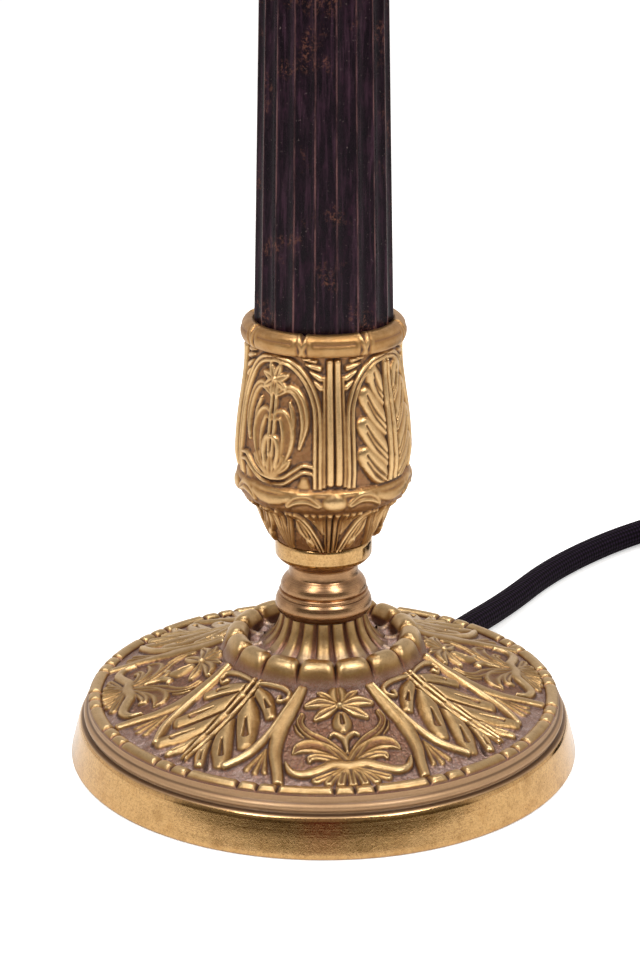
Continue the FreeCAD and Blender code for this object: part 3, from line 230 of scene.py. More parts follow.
def make_column_lacquer():
    # Brass tube under aubergine lacquer: nearly black, glossy, rubbed through to copper along the
    # flutes' edges and in a few small patches, with dull smears down it and pale dust specks.
    finish, tree, shader, where = new_finish("aubergine_lacquer_on_brass")
    streaked, scuffed, smeared = (add(tree, "Mapping", {"Vector": where, "Scale": (1.0, 1.0, along)})
                                  for along in (0.12, 0.4, 0.07))
    streaks = add(tree, "TexNoise", {"Vector": streaked, "Scale": grain(1.6), "Detail": 5, "Roughness": 0.7})
    scuffs = add(tree, "TexNoise", {"Vector": scuffed, "Scale": grain(2.6), "Detail": 6, "Roughness": 0.75})
    smears = add(tree, "TexNoise", {"Vector": smeared, "Scale": grain(1.1), "Detail": 4, "Roughness": 0.65})
    dots = add(tree, "TexNoise", {"Vector": where, "Scale": grain(0.7), "Detail": 3, "Roughness": 0.7})
    patches = add(tree, "TexNoise", {"Vector": where, "Scale": grain(10), "Detail": 3, "Roughness": 0.55})
    chips = add(tree, "TexNoise", {"Vector": where, "Scale": grain(0.9), "Detail": 4, "Roughness": 0.75})
    arris = add(tree, "Attribute", {}, out="Fac", attribute_name="arris")
    arris = add(tree, "MapRange", {0: arris, 1: 0.2, 2: 0.9})
    broken = add(tree, "MapRange", {0: streaks, 1: 0.44, 2: 0.62, 3: 0.1, 4: 0.9})
    worn = add(tree, "Math", {0: arris, 1: broken}, operation="MULTIPLY")
    in_patches = add(tree, "MapRange", {0: patches, 1: 0.56, 2: 0.68})
    in_chips = add(tree, "MapRange", {0: chips, 1: 0.5, 2: 0.64, 4: 0.7})
    rubbed = add(tree, "Math", {0: in_patches, 1: in_chips}, operation="MULTIPLY")
    body = add(tree, "ValToRGB", {0: scuffs}, stops=[(0.35, "0B040A"), (0.55, "160812"), (0.75, "301726")])
    for share, code in ((add(tree, "MapRange", {0: smears, 1: 0.5, 2: 0.68, 4: 0.7}), "3A2430"),
                        (worn, "7C5856"), (rubbed, "6E4638"),
                        (add(tree, "MapRange", {0: dots, 1: 0.66, 2: 0.72, 4: 0.4}), "7A6A66")):
        body = add(tree, "Mix", {0: share, 6: body, 7: paint(code)}, out=2, data_type="RGBA")
    add(tree, shader, {
        "Base Color": body, "Metallic": add(tree, "MapRange", {0: worn, 4: 0.8}),
        "Roughness": add(tree, "MapRange", {0: scuffs, 1: 0.35, 2: 0.72, 3: 0.2, 4: 0.4}),
        "Specular IOR Level": 0.12,
        "Normal": add(tree, "Bump", {"Height": scuffs, "Distance": 0.04 * MM, "Strength": 0.35})})
    return finish


def make_braid():
    # Rayon braid over a rubber lead, diamond woven, near black with a violet cast. Real strands are
    # 0.3 mm wide; here they are 1.3 mm, so that they show. The picks follow the cord's length and girth.
    finish, tree, shader, _ = new_finish("braided_rayon_lead")
    laid = add(tree, "UVMap", {}, uv_map="along_and_round")
    parts = add(tree, "SeparateXYZ", {"Vector": laid}).node.outputs
    waves = []
    for strands in (CORD_STRANDS, -CORD_STRANDS):
        slant = add(tree, "Math", {0: parts["Y"], 1: strands, 2: parts["X"]}, operation="MULTIPLY_ADD")
        turn = add(tree, "Math", {0: slant, 1: math.tau}, operation="MULTIPLY")
        waves.append(add(tree, "Math", {0: turn}, operation="SINE"))
    over = add(tree, "Math", {0: waves[0], 1: waves[1]}, operation="MULTIPLY")
    height = add(tree, "MapRange", {0: over, 1: -1, 2: 1})
    # The strands' raised parts are lighter and the dips between them darker: painted shade of the weave.
    add(tree, shader, {
        "Base Color": add(tree, "ValToRGB", {0: height},
                          stops=[(0.1, "040205"), (0.5, "10080F"), (0.95, "291C30")]),
        "Roughness": 0.85, "Specular IOR Level": 0.1,
        "Normal": add(tree, "Bump", {"Height": height, "Distance": 0.35 * MM, "Strength": 1.0})})
    return finish


def make_black_rubber():
    # Moulded rubber: dull black with a fine spark-eroded grain.
    finish, tree, shader, where = new_finish("moulded_black_rubber")
    skin = add(tree, "TexNoise", {"Vector": where, "Scale": grain(0.5), "Detail": 4, "Roughness": 0.55})
    patches = add(tree, "TexNoise", {"Vector": where, "Scale": grain(6), "Detail": 3, "Roughness": 0.55})
    add(tree, shader, {
        "Base Color": add(tree, "ValToRGB", {0: patches}, stops=[(0.3, "151414"), (0.7, "1E1D1D")]),
        "Roughness": add(tree, "MapRange", {0: skin, 1: 0.3, 2: 0.7, 3: 0.5, 4: 0.65}),
        "Normal": add(tree, "Bump", {"Height": skin, "Distance": 0.05 * MM, "Strength": 0.4})})
    return finish


def make_plain(name, dark, light, patch, low_rough, high_rough, metal=0.0, depth=0.03, grain_size=0.6):
    """A finish of two near tones in patches, with a skin of its own grain size."""
    finish, tree, shader, where = new_finish(name)
    skin, patches = (add(tree, "TexNoise", {"Vector": where, "Scale": grain(size), "Detail": 4,
                                            "Roughness": 0.55}) for size in (grain_size, patch))
    rough = add(tree, "MapRange", {0: skin, 1: 0.3, 2: 0.7, 3: low_rough, 4: high_rough})
    add(tree, shader, {
        "Base Color": add(tree, "ValToRGB", {0: patches}, stops=[(0.3, dark), (0.7, light)]),
        "Metallic": metal, "Roughness": rough,
        "Normal": add(tree, "Bump", {"Height": skin, "Distance": depth * MM, "Strength": 0.5})})
    return finish


polished_brass = make_polished_brass()
foot_brass = make_cast_brass("gilt_cast_brass_foot", high="D6B888", middle="9C7A4C", low="76553F",
                             dust="AD9C98", dust_share=0.85, ground="8C5A42")
basket_brass = make_cast_brass("gilt_cast_brass_basket", high="E0BC88", middle="AB8150", low="97704A",
                               dust="A88A7C", dust_share=0.3, ground="9A6A45")
bronzed_brass = make_bronzed_brass()
holder_brass = make_holder_brass()
contact_brass = make_contact_brass()
column_lacquer = make_column_lacquer()
braid = make_braid()
rubber = make_black_rubber()
# Zinc-plated mild steel: grey, slightly blue, dull bright.
zinc_steel = make_plain("zinc_plated_steel", "8E8F8E", "A9ABAA", 5, 0.3, 0.45, metal=1.0)
# Grey cast iron, as cast: rough sand skin, nearly black.
cast_iron = make_plain("cast_iron", "2C2B2A", "3D3A37", 4, 0.6, 0.8, metal=0.4, depth=0.25, grain_size=0.9)
# Wool felt: matt green with short fibres.
green_felt = make_plain("wool_felt", "22402C", "305539", 7, 0.9, 1.0, depth=0.3, grain_size=0.7)
# Hardboard: pressed wood fibre, brown.
fibre_board = make_plain("hardboard", "6B4E33", "80603F", 5, 0.7, 0.85, depth=0.06)
# Glazed electrical porcelain: off-white and glossy.
porcelain = make_plain("glazed_porcelain", "E3DFD3", "ECE9DF", 9, 0.12, 0.2, depth=0.01, grain_size=3)
# Phenolic moulding: brown-black and glossy.
phenolic = make_plain("phenolic_moulding", "1D130E", "2A1B13", 6, 0.25, 0.4, depth=0.02)
# Wire insulation: brown plastic.
insulation = make_plain("wire_insulation", "5A3420", "6A3F27", 6, 0.4, 0.5, depth=0.01)

NODE_FINISHES = {
    "foot_rim": polished_brass, "plain_ring": polished_brass, "foot_casting": foot_brass,
    "basket_casting": basket_brass, "capital_casting": basket_brass, "drip_pan": basket_brass,
    "turned_collar": bronzed_brass, "fluted_column": column_lacquer,
    "foot_nut": zinc_steel, "foot_washer": zinc_steel, "top_nut": zinc_steel, "threaded_rod": zinc_steel,
    "column_lower_disc": zinc_steel, "column_upper_disc": zinc_steel, "switch_shaft": zinc_steel,
    "ballast_disc": cast_iron, "felt_pad": green_felt, "base_board": fibre_board,
    "holder_cap": holder_brass, "holder_sleeve": holder_brass, "shade_ring": holder_brass,
    "switch_knob": holder_brass, "screw_shell": contact_brass, "centre_contact": contact_brass,
    "terminal_screws": contact_brass, "plug_pins": contact_brass, "holder_insert": porcelain,
    "terminal_block": porcelain, "switch_block": phenolic, "cord_clamp": phenolic,
    "lead_wires": insulation, "power_cord": braid, "cord_coil": braid,
    "cord_bushing": rubber, "plug_guard": rubber, "plug_body": rubber, "cord_tie": rubber,
}
for node_name, node_finish in NODE_FINISHES.items():
    node_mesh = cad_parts[node_name].data
    node_mesh.materials.clear()
    node_mesh.materials.append(node_finish)


# ---- making meshes ---------------------------------------------------------------

def only(piece):
    """Select this piece alone."""
    bpy.ops.object.select_all(action="DESELECT")
    piece.select_set(True)
    bpy.context.view_layer.objects.active = piece


def finished(piece, finish, stands_for=(), smooth=40):
    """Give a fixed piece its finish and its slot, and the CAD nodes that it stands for."""
    piece.data.materials.clear()
    piece.data.materials.append(finish)
    only(piece)
    bpy.ops.object.transform_apply(location=True, rotation=True, scale=True)
    bpy.ops.object.shade_smooth_by_angle(angle=math.radians(smooth))
    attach(piece, "root")
    if stands_for:
        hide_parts(*stands_for)
    return piece


def flowing(points, steps=6):
    """A smooth line through the given points, as rows of any width."""
    points = np.array(points, float)
    if len(points) < 3:
        return points
    padded = np.vstack([2 * points[0] - points[1], points, 2 * points[-1] - points[-2]])
    rows = []
    for before, start, end, after in zip(padded, padded[1:], padded[2:], padded[3:]):
        square = 2 * before - 5 * start + 4 * end - after
        cube = 3 * start - before - 3 * end + after
        for t in np.arange(steps) / steps:
            rows.append(0.5 * (2 * start + (end - before) * t + square * t ** 2 + cube * t ** 3))
    rows.append(points[-1])
    return np.array(rows)


def turned_section(runs):
    """A section drawn as runs of (radius, height). Each run is smooth, and a corner lies between runs."""
    line = np.vstack([flowing(run) for run in runs])
    keep = np.r_[True, np.hypot(*np.diff(line, axis=0).T) > 1e-4]
    return line[keep]


def spun(name, runs, steps):
    """Draw a closed section with extrusions and spin it about the lamp's axis."""
    line = turned_section(runs)
    line = np.vstack([line, line[:1]])
    bpy.ops.object.select_all(action="DESELECT")
    bpy.ops.mesh.primitive_plane_add(size=MM, location=(0, 0, 0))
    piece = bpy.context.active_object
    piece.name = name
    bpy.ops.object.mode_set(mode="EDIT")
    bpy.ops.mesh.select_all(action="SELECT")
    bpy.ops.mesh.merge(type="CENTER")
    bpy.ops.transform.translate(value=(line[0, 0] * MM, 0, line[0, 1] * MM))
    for before, after in zip(line, line[1:]):
        step = (after - before) * MM
        bpy.ops.mesh.extrude_region_move(TRANSFORM_OT_translate={"value": (step[0], 0, step[1])})
    bpy.ops.mesh.select_all(action="SELECT")
    bpy.ops.mesh.spin(steps=steps, angle=math.tau, center=(0, 0, 0), axis=(0, 0, 1))
    bpy.ops.mesh.select_all(action="SELECT")
    bpy.ops.mesh.remove_doubles(threshold=0.004 * MM)
    bpy.ops.mesh.normals_make_consistent(inside=False)
    bpy.ops.object.mode_set(mode="OBJECT")
    return piece


def places_of(mesh):
    """Where the points of a mesh are, in metres, one row for each."""
    flat = np.empty(len(mesh.vertices) * 3)
    mesh.vertices.foreach_get("co", flat)
    return flat.reshape(-1, 3)


def carry(piece, name, values):
    """Keep a value for each point of a mesh, for the finish to read."""
    kept = piece.data.attributes.new(name, "FLOAT", "POINT")
    kept.data.foreach_set("value", np.asarray(values, np.float32).ravel())


def softened(field, passes, wraps=False):
    """A field of heights, blurred by that many passes over its neighbours."""
    for _ in range(passes):
        if wraps:
            wide = np.hstack([field[:, -2:-1], field, field[:, 1:2]])
        else:
            wide = np.pad(field, ((0, 0), (1, 1)), mode="edge")
        field = (wide[:, :-2] + 2 * wide[:, 1:-1] + wide[:, 2:]) / 4
        tall = np.pad(field, ((1, 1), (0, 0)), mode="edge")
        field = (tall[:-2] + 2 * tall[1:-1] + tall[2:]) / 4
    return field


def even_steps(line, count):
    """The same line as evenly spaced rows, with how far along each is, and its outward normals."""
    far = np.r_[0, np.cumsum(np.hypot(*np.diff(line, axis=0).T))]
    at = np.linspace(0, far[-1], count)
    rows = np.column_stack([np.interp(at, far, line[:, 0]), np.interp(at, far, line[:, 1])])
    way = np.gradient(rows, axis=0)
    way /= np.hypot(*way.T)[:, None]
    return rows, at, np.column_stack([way[:, 1], -way[:, 0]])


def relief_sheet(name, line, start, end, rows, columns, heights, dusty=None, top=1.6, wraps=False):
    """A turned surface between two angles, raised by a field of heights in millimetres.

    The section runs from the outer or lower edge to the inner or upper one. The field is worked out
    for the angle, the radius and the height of every point, and the finish reads how high each point
    stands, to paint crests lighter as worn gilding and painted highlight, and how deep in a hollow it
    lies, to paint shade and grime there. Top is about how high the relief stands.
    """
    section, at, normals = even_steps(line, rows + 1)
    angle = np.linspace(start, end, columns + 1)[None, :].repeat(rows + 1, 0)
    radius = section[:, 0][:, None].repeat(columns + 1, 1)
    level = section[:, 1][:, None].repeat(columns + 1, 1)
    along = at[:, None].repeat(columns + 1, 1)
    field = heights(angle, radius, level, along)
    spread = radius + field * normals[:, 0][:, None]
    raised = level + field * normals[:, 1][:, None]
    points = np.stack([spread * np.sin(angle), -spread * np.cos(angle), raised], axis=-1) * MM
    bpy.ops.object.select_all(action="DESELECT")
    bpy.ops.mesh.primitive_grid_add(x_subdivisions=columns, y_subdivisions=rows, size=1, calc_uvs=False)
    piece = bpy.context.active_object
    piece.name = name
    flat = places_of(piece.data)
    column = np.rint((flat[:, 0] + 0.5) * columns).astype(int)
    row = np.rint((flat[:, 1] + 0.5) * rows).astype(int)
    piece.data.vertices.foreach_set("co", points[row, column].astype(np.float32).ravel())
    blurred = softened(field, 5, wraps)
    wide = softened(field, 24, wraps)
    # How deep each point lies below its neighbours: the finish paints shade and grime there.
    deep = np.clip((blurred - field) / 0.16, 0, 1) * 0.6 + np.clip((wide - field) / 0.5, 0, 1) * 0.6
    # How high each point stands: the finish paints crests lighter, partly worn gilding and partly painted
    # highlight.
    lift = np.clip(0.6 * field / top + 0.55 * np.clip((field - wide) / (0.45 * top), -0.2, 1), 0, 1)
    settled = np.zeros_like(field) if dusty is None else dusty(angle, radius, level, along, field)
    for label, values in (("relief", lift), ("hollow_shade_and_grime", np.clip(deep, 0, 1)), ("dusty", settled)):
        carry(piece, label, values[row, column])
    piece.data.update()
    if wraps:
        bpy.ops.object.mode_set(mode="EDIT")
        bpy.ops.mesh.select_all(action="SELECT")
        bpy.ops.mesh.remove_doubles(threshold=0.02 * MM)
        bpy.ops.object.mode_set(mode="OBJECT")
    return piece


# ---- drawing relief --------------------------------------------------------------

def from_nearest(angle, count, first=0.0):
    """How far an angle is from the nearest of the forms that repeat round the lamp, evenly spaced."""
    step = math.tau / count
    return (angle - first + step / 2) % step - step / 2


def domed(share):
    """A round-backed stroke."""
    return np.clip(1 - share ** 2, 0, 1) ** 0.6


def pillowed(share):
    """A broad soft form with rolled edges."""
    return np.clip(1 - share ** 3, 0, 1) ** 0.6


def creased(share):
    """A leaf with a groove down its middle."""
    return np.clip(1 - share ** 2, 0, 1) ** 0.6 * (1 - 0.5 * np.exp(-(share / 0.24) ** 2))


def ringed(share):
    """A leaf that is hollowed, so that its edge stands up."""
    return np.clip(1 - share ** 2, 0, 1) ** 0.5 * (1 - 0.62 * np.exp(-(share / 0.5) ** 4))


def stroke(field, across, up, points, high, shape=domed, steps=5):
    """Raise a stroke on a field. Its points are (across, up, half width)."""
    line = flowing(points, steps)
    reach = line[:, 2].max()
    near = ((across > line[:, 0].min() - reach) & (across < line[:, 0].max() + reach)
            & (up > line[:, 1].min() - reach) & (up < line[:, 1].max() + reach))
    if not near.any():
        return
    px, py = across[near], up[near]
    share = np.ones(px.shape)
    for (x0, y0, w0), (x1, y1, w1) in zip(line, line[1:]):
        w0, w1 = max(w0, 0.05), max(w1, 0.05)
        dx, dy = x1 - x0, y1 - y0
        t = np.clip(((px - x0) * dx + (py - y0) * dy) / max(dx * dx + dy * dy, 1e-9), 0, 1)
        np.minimum(share, np.hypot(px - x0 - t * dx, py - y0 - t * dy) / (w0 + (w1 - w0) * t), out=share)
    field[near] = np.maximum(field[near], high * shape(share))


def cut(field, across, up, points, deep, steps=5):
    """Sink a rounded groove into a field."""
    groove = np.zeros_like(field)
    stroke(groove, across, up, points, deep, domed, steps)
    field -= groove


# ---- the foot --------------------------------------------------------------------

def palmette(field, across, up):
    """Half a palmette on the foot: a broad leaf of long lobes with hollow eyes, a double rib and a scroll.

    Each lobe has its root, its middle, its tip, its half width, its eye and the eye's half width.
    """
    lobes = [((1.6, 28.6), (5.4, 30.8), (10.2, 35.2), 2.1, (7.9, 32.8), 0.6),
             ((1.2, 31.0), (5.0, 37.2), (10.6, 45.2), 3.2, (8.6, 42.4), 0.85),
             ((0.9, 38.0), (4.2, 45.2), (9.6, 52.8), 3.0, (7.8, 50.4), 0.7),
             ((0.8, 46.0), (2.6, 50.8), (4.8, 54.8), 1.9, (4.2, 53.6), 0.3)]
    for root, middle, tip, width, eye, hollow in lobes:
        leaf = np.zeros_like(field)
        stroke(leaf, across, up, [(*root, 1.3), (*middle, width), (*tip, width * 0.68)], 1.35)
        cut(leaf, across, up, [(*middle, 0.1), (0.4 * middle[0] + 0.6 * eye[0],
                                                0.4 * middle[1] + 0.6 * eye[1], hollow * 0.6),
                               (*eye, hollow)], 0.85)
        np.maximum(field, leaf, out=field)
    for gap in ([(2.6, 30.8, 0.15), (7.0, 34.2, 0.25), (11.2, 39.4, 0.6)],
                [(1.9, 36.8, 0.15), (5.0, 41.4, 0.25), (10.6, 49.4, 0.6)],
                [(1.7, 44.8, 0.15), (3.9, 50.2, 0.22), (6.9, 55.4, 0.5)]):
        cut(field, across, up, gap, 1.05)
    cut(field, across, up, [(1.75, 28, 0.25), (1.85, 36, 0.3), (1.7, 44, 0.25), (1.3, 54, 0.2)], 1.0)
    stroke(field, across, up, [(0.9, 25.6, 0.6), (0.95, 32, 0.65), (0.85, 42, 0.6), (0.6, 54.6, 0.4)], 1.35)
    stroke(field, across, up, [(0.6, 27.0, 0.6), (3.6, 26.4, 0.7), (7.4, 26.6, 0.7), (10.0, 27.8, 0.7),
                               (10.4, 29.8, 0.65), (8.9, 30.4, 0.6), (8.2, 29.2, 0.75)], 1.35)


def flower_spray(field, across, up):
    """The foot's flower panel, drawn for one half: a flower, its bud, leaves, curls and a fan."""
    stroke(field, across, up, [(0, 49.5, 1.0), (2.2, 45.2, 1.6), (5.2, 41.4, 1.5), (8.6, 39.0, 1.25),
                               (10.2, 36.2, 1.0), (9.4, 33.6, 0.75)], 1.25, ringed)
    stroke(field, across, up, [(9.8, 40.4, 0.3), (11.1, 38.8, 0.5), (11.7, 36.6, 0.25)], 0.8)
    stroke(field, across, up, [(0.6, 49.0, 1.2), (3.6, 45.2, 2.1), (7.6, 43.2, 2.5), (10.8, 43.8, 1.9),
                               (13.0, 45.9, 0.4)], 1.35, ringed)
    stroke(field, across, up, [(1.0, 49.2, 0.8), (4.0, 47.6, 1.35), (7.0, 46.8, 1.4), (9.0, 47.3, 1.1),
                               (9.4, 48.6, 0.4)], 1.25, creased)
    stroke(field, across, up, [(0.2, 50.0, 1.7), (4.0, 49.6, 1.6), (7.6, 51.4, 1.45), (11.4, 53.0, 1.4),
                               (14.2, 52.2, 1.2), (15.2, 49.6, 0.5)], 1.4, pillowed)
    for tip_x, tip_y, bend in ((0.0, 56.2, 0), (2.9, 56.0, 0.6), (5.7, 55.5, 1.0), (8.6, 54.8, 1.0)):
        stroke(field, across, up, [(0.3, 50.6, 0.7), (tip_x * 0.45 + bend, 52.8, 1.15), (tip_x, tip_y, 1.3)],
               1.2, creased)
    stroke(field, across, up, [(0, 30.0, 1.3), (0, 28.0, 2.7), (0, 26.2, 1.9)], 1.3, creased)
    stroke(field, across, up, [(1.2, 29.6, 0.5), (3.0, 27.9, 1.15), (4.7, 27.2, 0.5)], 1.2, creased)
    stroke(field, across, up, [(1.2, 30.5, 0.9), (4.6, 29.8, 1.9), (8.0, 31.0, 0.8)], 1.4, creased)
    stroke(field, across, up, [(1.1, 31.4, 0.8), (3.8, 32.8, 1.7), (6.2, 34.8, 0.8)], 1.35, creased)
    stroke(field, across, up, [(0.0, 34.2, 1.9), (0.0, 36.2, 2.6), (0.0, 38.2, 1.5)], 1.5)
    cut(field, across, up, [(0.0, 33.8, 0.4), (0.0, 36.4, 0.6)], 1.0)
    stroke(field, across, up, [(0, 30.7, 1.0), (0, 30.9, 1.0)], 1.8)
    stroke(field, across, up, [(0, 45.6, 0.45), (0, 41.8, 1.0), (0.9, 40.2, 1.0), (2.4, 39.3, 0.85),
                               (3.5, 40.2, 0.45)], 1.3)


def panel_rib(field, across, up):
    """The smooth rib between the panels. It splits, and a small fan fills the fork."""
    def placed(points):
        """Points given as degrees from the panel's middle, radius and half width."""
        return [(math.radians(degrees) * r, r, width) for degrees, r, width in points]
    stroke(field, across, up, placed([(17.4, 24.2, 1.0), (20.0, 28.4, 1.6), (21.9, 33, 1.95),
                                      (23.4, 38.0, 2.2), (23.4, 41.0, 2.0)]), 1.3, pillowed)
    stroke(field, across, up, placed([(23.0, 38.2, 2.1), (22.6, 42.5, 1.9), (21.4, 47.2, 1.75),
                                      (19.6, 51.4, 1.6), (18.2, 56.2, 1.4)]), 1.25, pillowed)
    stroke(field, across, up, placed([(19.4, 25.6, 0.4), (22.6, 30.5, 0.5), (24.6, 35.5, 0.6),
                                      (26.0, 40.0, 0.9), (27.4, 44.0, 1.1), (29.6, 48.6, 1.1),
                                      (33.4, 53.6, 0.9)]), 1.6)
    for degrees, r in ((22.6, 53.0), (24.9, 53.6), (27.4, 53.0)):
        stroke(field, across, up, placed([(24.7, 45.2, 0.3), ((24.7 + degrees) / 2, 49.0, 0.65),
                                          (degrees, r, 0.9)]), 0.8)


def from_flower(angle):
    """How far an angle is from the middle of the nearest of the four flower panels."""
    return np.abs(from_nearest(angle, 4, ORNAMENT_PHASE))


def foot_field_heights(angle, radius, level, along):
    """The quarter of the field from the middle of one palmette to the middle of the next."""
    turned = from_flower(angle)
    field = np.zeros_like(angle)
    flower_x = turned * radius
    palm_x = (QUARTER / 2 - turned) * radius
    flower_spray(field, flower_x, radius)
    palmette(field, palm_x, radius)
    panel_rib(field, flower_x, radius)
    rng = np.random.default_rng(7)
    lumps = softened(rng.normal(0, 1, field.shape), 2)
    edge = np.clip((radius - 25.2) / 0.8, 0, 1) * np.clip((57.0 - radius) / 0.5, 0, 1)
    return softened((field + lumps * 0.22 * (1 - np.clip(field, 0, 0.9))) * edge, 1)


def field_dust(angle, radius, level, along, field):
    """Dust lies on the ground of the palmette panels, and in the corners of the others."""
    in_palm = np.clip((from_flower(angle) - math.radians(22)) / math.radians(3), 0, 1)
    low = np.clip(1 - field / 0.45, 0, 1)
    edge = np.clip((radius - 50) / 5, 0, 1)
    inner = np.clip((30 - radius) / 4, 0, 1)
    return low * np.clip(0.35 + 0.5 * in_palm + 0.6 * edge + 0.6 * inner, 0, 1)


def make_foot_field():
    section = turned_section([[(57.1, 14.75), (51, 16.5), (45, 18.3), (40, 20.0), (35, 22.0), (30, 24.2),
                               (26.6, 26.0), (25.0, 26.7)]])
    for quarter in range(4):
        start = ORNAMENT_PHASE + (quarter - 0.5) * QUARTER
        piece = relief_sheet(f"foot_panels_{quarter + 1}", section, start, start + QUARTER,
                             176, 480, foot_field_heights, field_dust)
        finished(piece, foot_brass, smooth=60)


def reed_heights(angle, radius, level, along):
    """Long smooth bars with two short beads and three notches between them, sixteen times round."""
    x = np.abs(from_nearest(angle, BORDER_GROUPS, ORNAMENT_PHASE)) * BORDER_RADIUS
    bar = np.clip((x - 4.9) / 0.9, 0, 1)
    bead = np.clip(1 - (np.abs(x - 2.4) / 2.25) ** 4, 0, 1)
    lift = np.where(x > 4.7, bar ** 0.5, bead ** 0.5)
    across_bar = np.clip(1 - ((radius - 58.55) / 1.65) ** 2, 0, 1) ** 0.6
    return across_bar * (lift * 1.25 - 0.35)


def reed_dust(angle, radius, level, along, field):
    """Dust lies in the notches and beside the bars."""
    return np.clip(0.5 - field, 0, 1) * 0.6


def make_foot_border():
    section = turned_section([[(60.25, 14.4), (60.1, 14.75), (59.4, 15.0), (58.5, 15.1), (57.5, 15.0),
                               (56.9, 14.8)]])
    border = relief_sheet("foot_reeded_border", section, 0, math.tau, 26, 1760, reed_heights, reed_dust,
                          top=0.9, wraps=True)
    finished(border, foot_brass, smooth=60)


def lobe_heights(angle, radius, level, along):
    """Sixteen squarish eggs that nearly touch. Inside the ring each turns into a spoon's hollow."""
    half_step = math.pi / EGGS
    share = np.abs(from_nearest(angle, EGGS, ORNAMENT_PHASE + half_step)) / half_step
    rounded = np.clip(1 - share ** 4.5, 0, 1) ** 0.55
    crest = np.exp(-((along - 6.6) / 2.9) ** 2)
    foot = np.clip(along / 1.2, 0, 1)
    swell = rounded * (0.1 + 1.7 * crest) - 0.75 * (1 - rounded) * (0.3 + crest)
    inside = np.clip((along - 9.6) / 1.4, 0, 1) * np.clip((16.8 - along) / 3.0, 0, 1)
    spoon = -1.6 * np.clip(1 - (share / 0.8) ** 2, 0, 1) + 0.7 * np.clip((share - 0.72) / 0.2, 0, 1)
    outer = np.clip((11.0 - along) / 1.6, 0, 1)
    return foot * (swell * outer + spoon * inside)


def lobe_dust(angle, radius, level, along, field):
    """Dust lies in the spoons inside the ring, and under the eggs outside it."""
    inside = np.clip((along - 9.4) / 2.0, 0, 1) * np.clip((18.4 - along) / 3, 0, 1)
    return np.clip(inside + np.clip((3.4 - along) / 3.4, 0, 1), 0, 1)


def make_lobe_ring():
    section = turned_section([[(26.3, 25.9), (26.0, 26.9), (25.4, 28.0), (24.6, 29.1), (23.6, 30.1),
                               (22.6, 30.7), (21.5, 30.9), (20.4, 30.3), (19.2, 29.2), (18.0, 28.5),
                               (16.6, 28.5), (15.6, 29.0)]])
    ring = relief_sheet("foot_lobe_ring", section, 0, math.tau, 84, 960, lobe_heights, lobe_dust,
                        top=1.6, wraps=True)
    finished(ring, foot_brass, smooth=60)


def gadroon_heights(angle, radius, level, along):
    """Eighteen convex flutes on the hollow flare, with a dark groove and a thin lip between them."""
    share = from_nearest(angle, GADROONS) / (math.pi / GADROONS)
    fade = np.clip(along / 2.5, 0, 1)
    lip = 0.28 * np.exp(-((share - 0.9) / 0.1) ** 2) + 0.28 * np.exp(-((share + 1.1) / 0.1) ** 2)
    return fade * (0.95 * np.clip(1 - np.abs(share / 0.86) ** 3, 0, 1) ** 0.6 - 0.65 + lip)


def flare_dust(angle, radius, level, along, field):
    """Dust lies at the flare's foot."""
    return np.clip((5.0 - along) / 5.0, 0, 1) * 0.9


def make_flare():
    section = turned_section([[(16.6, 28.4), (15.3, 29.0), (14.0, 30.0), (12.8, 31.3), (11.9, 32.8),
                               (11.2, 34.5), (10.75, 36.4), (10.6, 37.3)]])
    flare = relief_sheet("foot_gadrooned_flare", section, 0, math.tau, 48, 960, gadroon_heights, flare_dust,
                         top=0.4, wraps=True)
    finished(flare, foot_brass, smooth=60, stands_for=("foot_casting",))


def make_rim():
    rim = spun("foot_polished_rim", [
        [(58.2, 0.0), (63.6, 0.0)],
        [(63.6, 0.0), (64.6, 0.15), (64.95, 0.7)],
        [(64.95, 0.7), (64.82, 1.4), (64.32, 3.4), (63.65, 6.0), (62.8, 9.1)],
        [(62.8, 9.1), (62.4, 9.75), (62.0, 10.05), (61.4, 10.1)],
        [(61.4, 10.1), (61.0, 10.25), (60.9, 10.6)],
        [(60.9, 10.6), (61.3, 11.0), (61.5, 11.7), (61.2, 12.3), (60.8, 12.6)],
        [(60.8, 12.6), (60.35, 12.9), (60.2, 13.5), (60.3, 14.1), (60.3, 14.4)],
        [(60.3, 14.4), (56.5, 14.4)],
        [(56.5, 14.4), (50.5, 14.38), (50.2, 14.1)],
        [(50.2, 14.1), (50.2, 12.0)],
        [(50.2, 12.0), (58.0, 12.0)],
        [(58.0, 12.0), (58.0, 0.2)],
    ], steps=384)
    level = places_of(rim.data)[:, 2] / MM
    carry(rim, "dusty", np.clip((level - 9.7) / 0.3, 0, 1))
    # The finish darkens the two grooves: painted shade with grime.
    lower_groove = np.exp(-((level - 10.2) / 0.22) ** 2)
    upper_groove = np.exp(-((level - 12.75) / 0.25) ** 2)
    carry(rim, "hollow_shade_and_grime", lower_groove + 0.8 * upper_groove)
    finished(rim, polished_brass, stands_for=("foot_rim",), smooth=35)


make_foot_field()
make_foot_border()
make_lobe_ring()
make_flare()
make_rim()


# ---- the stem --------------------------------------------------------------------

def make_collar():
    collar = spun("turned_bronzed_collar", [
        [(5.15, 37.3), (10.2, 37.3)],
        [(10.2, 37.3), (11.4, 37.8), (12.1, 39.0), (12.25, 40.2), (11.9, 41.6), (11.3, 42.4)],
        [(11.3, 42.4), (11.05, 42.5), (11.0, 42.75)],
        [(11.0, 42.75), (11.25, 42.85), (11.3, 43.2), (11.1, 43.45)],
        [(11.1, 43.45), (10.75, 43.5)],
        [(10.75, 43.5), (10.95, 44.2), (10.75, 45.3), (10.2, 46.3), (9.4, 47.2)],
        [(9.4, 47.2), (8.95, 47.7), (8.75, 48.5), (8.7, 49.6), (8.85, 50.5), (9.4, 51.05), (9.8, 51.3)],
        [(9.8, 51.3), (5.15, 51.3)],
        [(5.15, 51.3), (5.15, 37.4)],
    ], steps=128)
    finished(collar, bronzed_brass, stands_for=("turned_collar",), smooth=35)


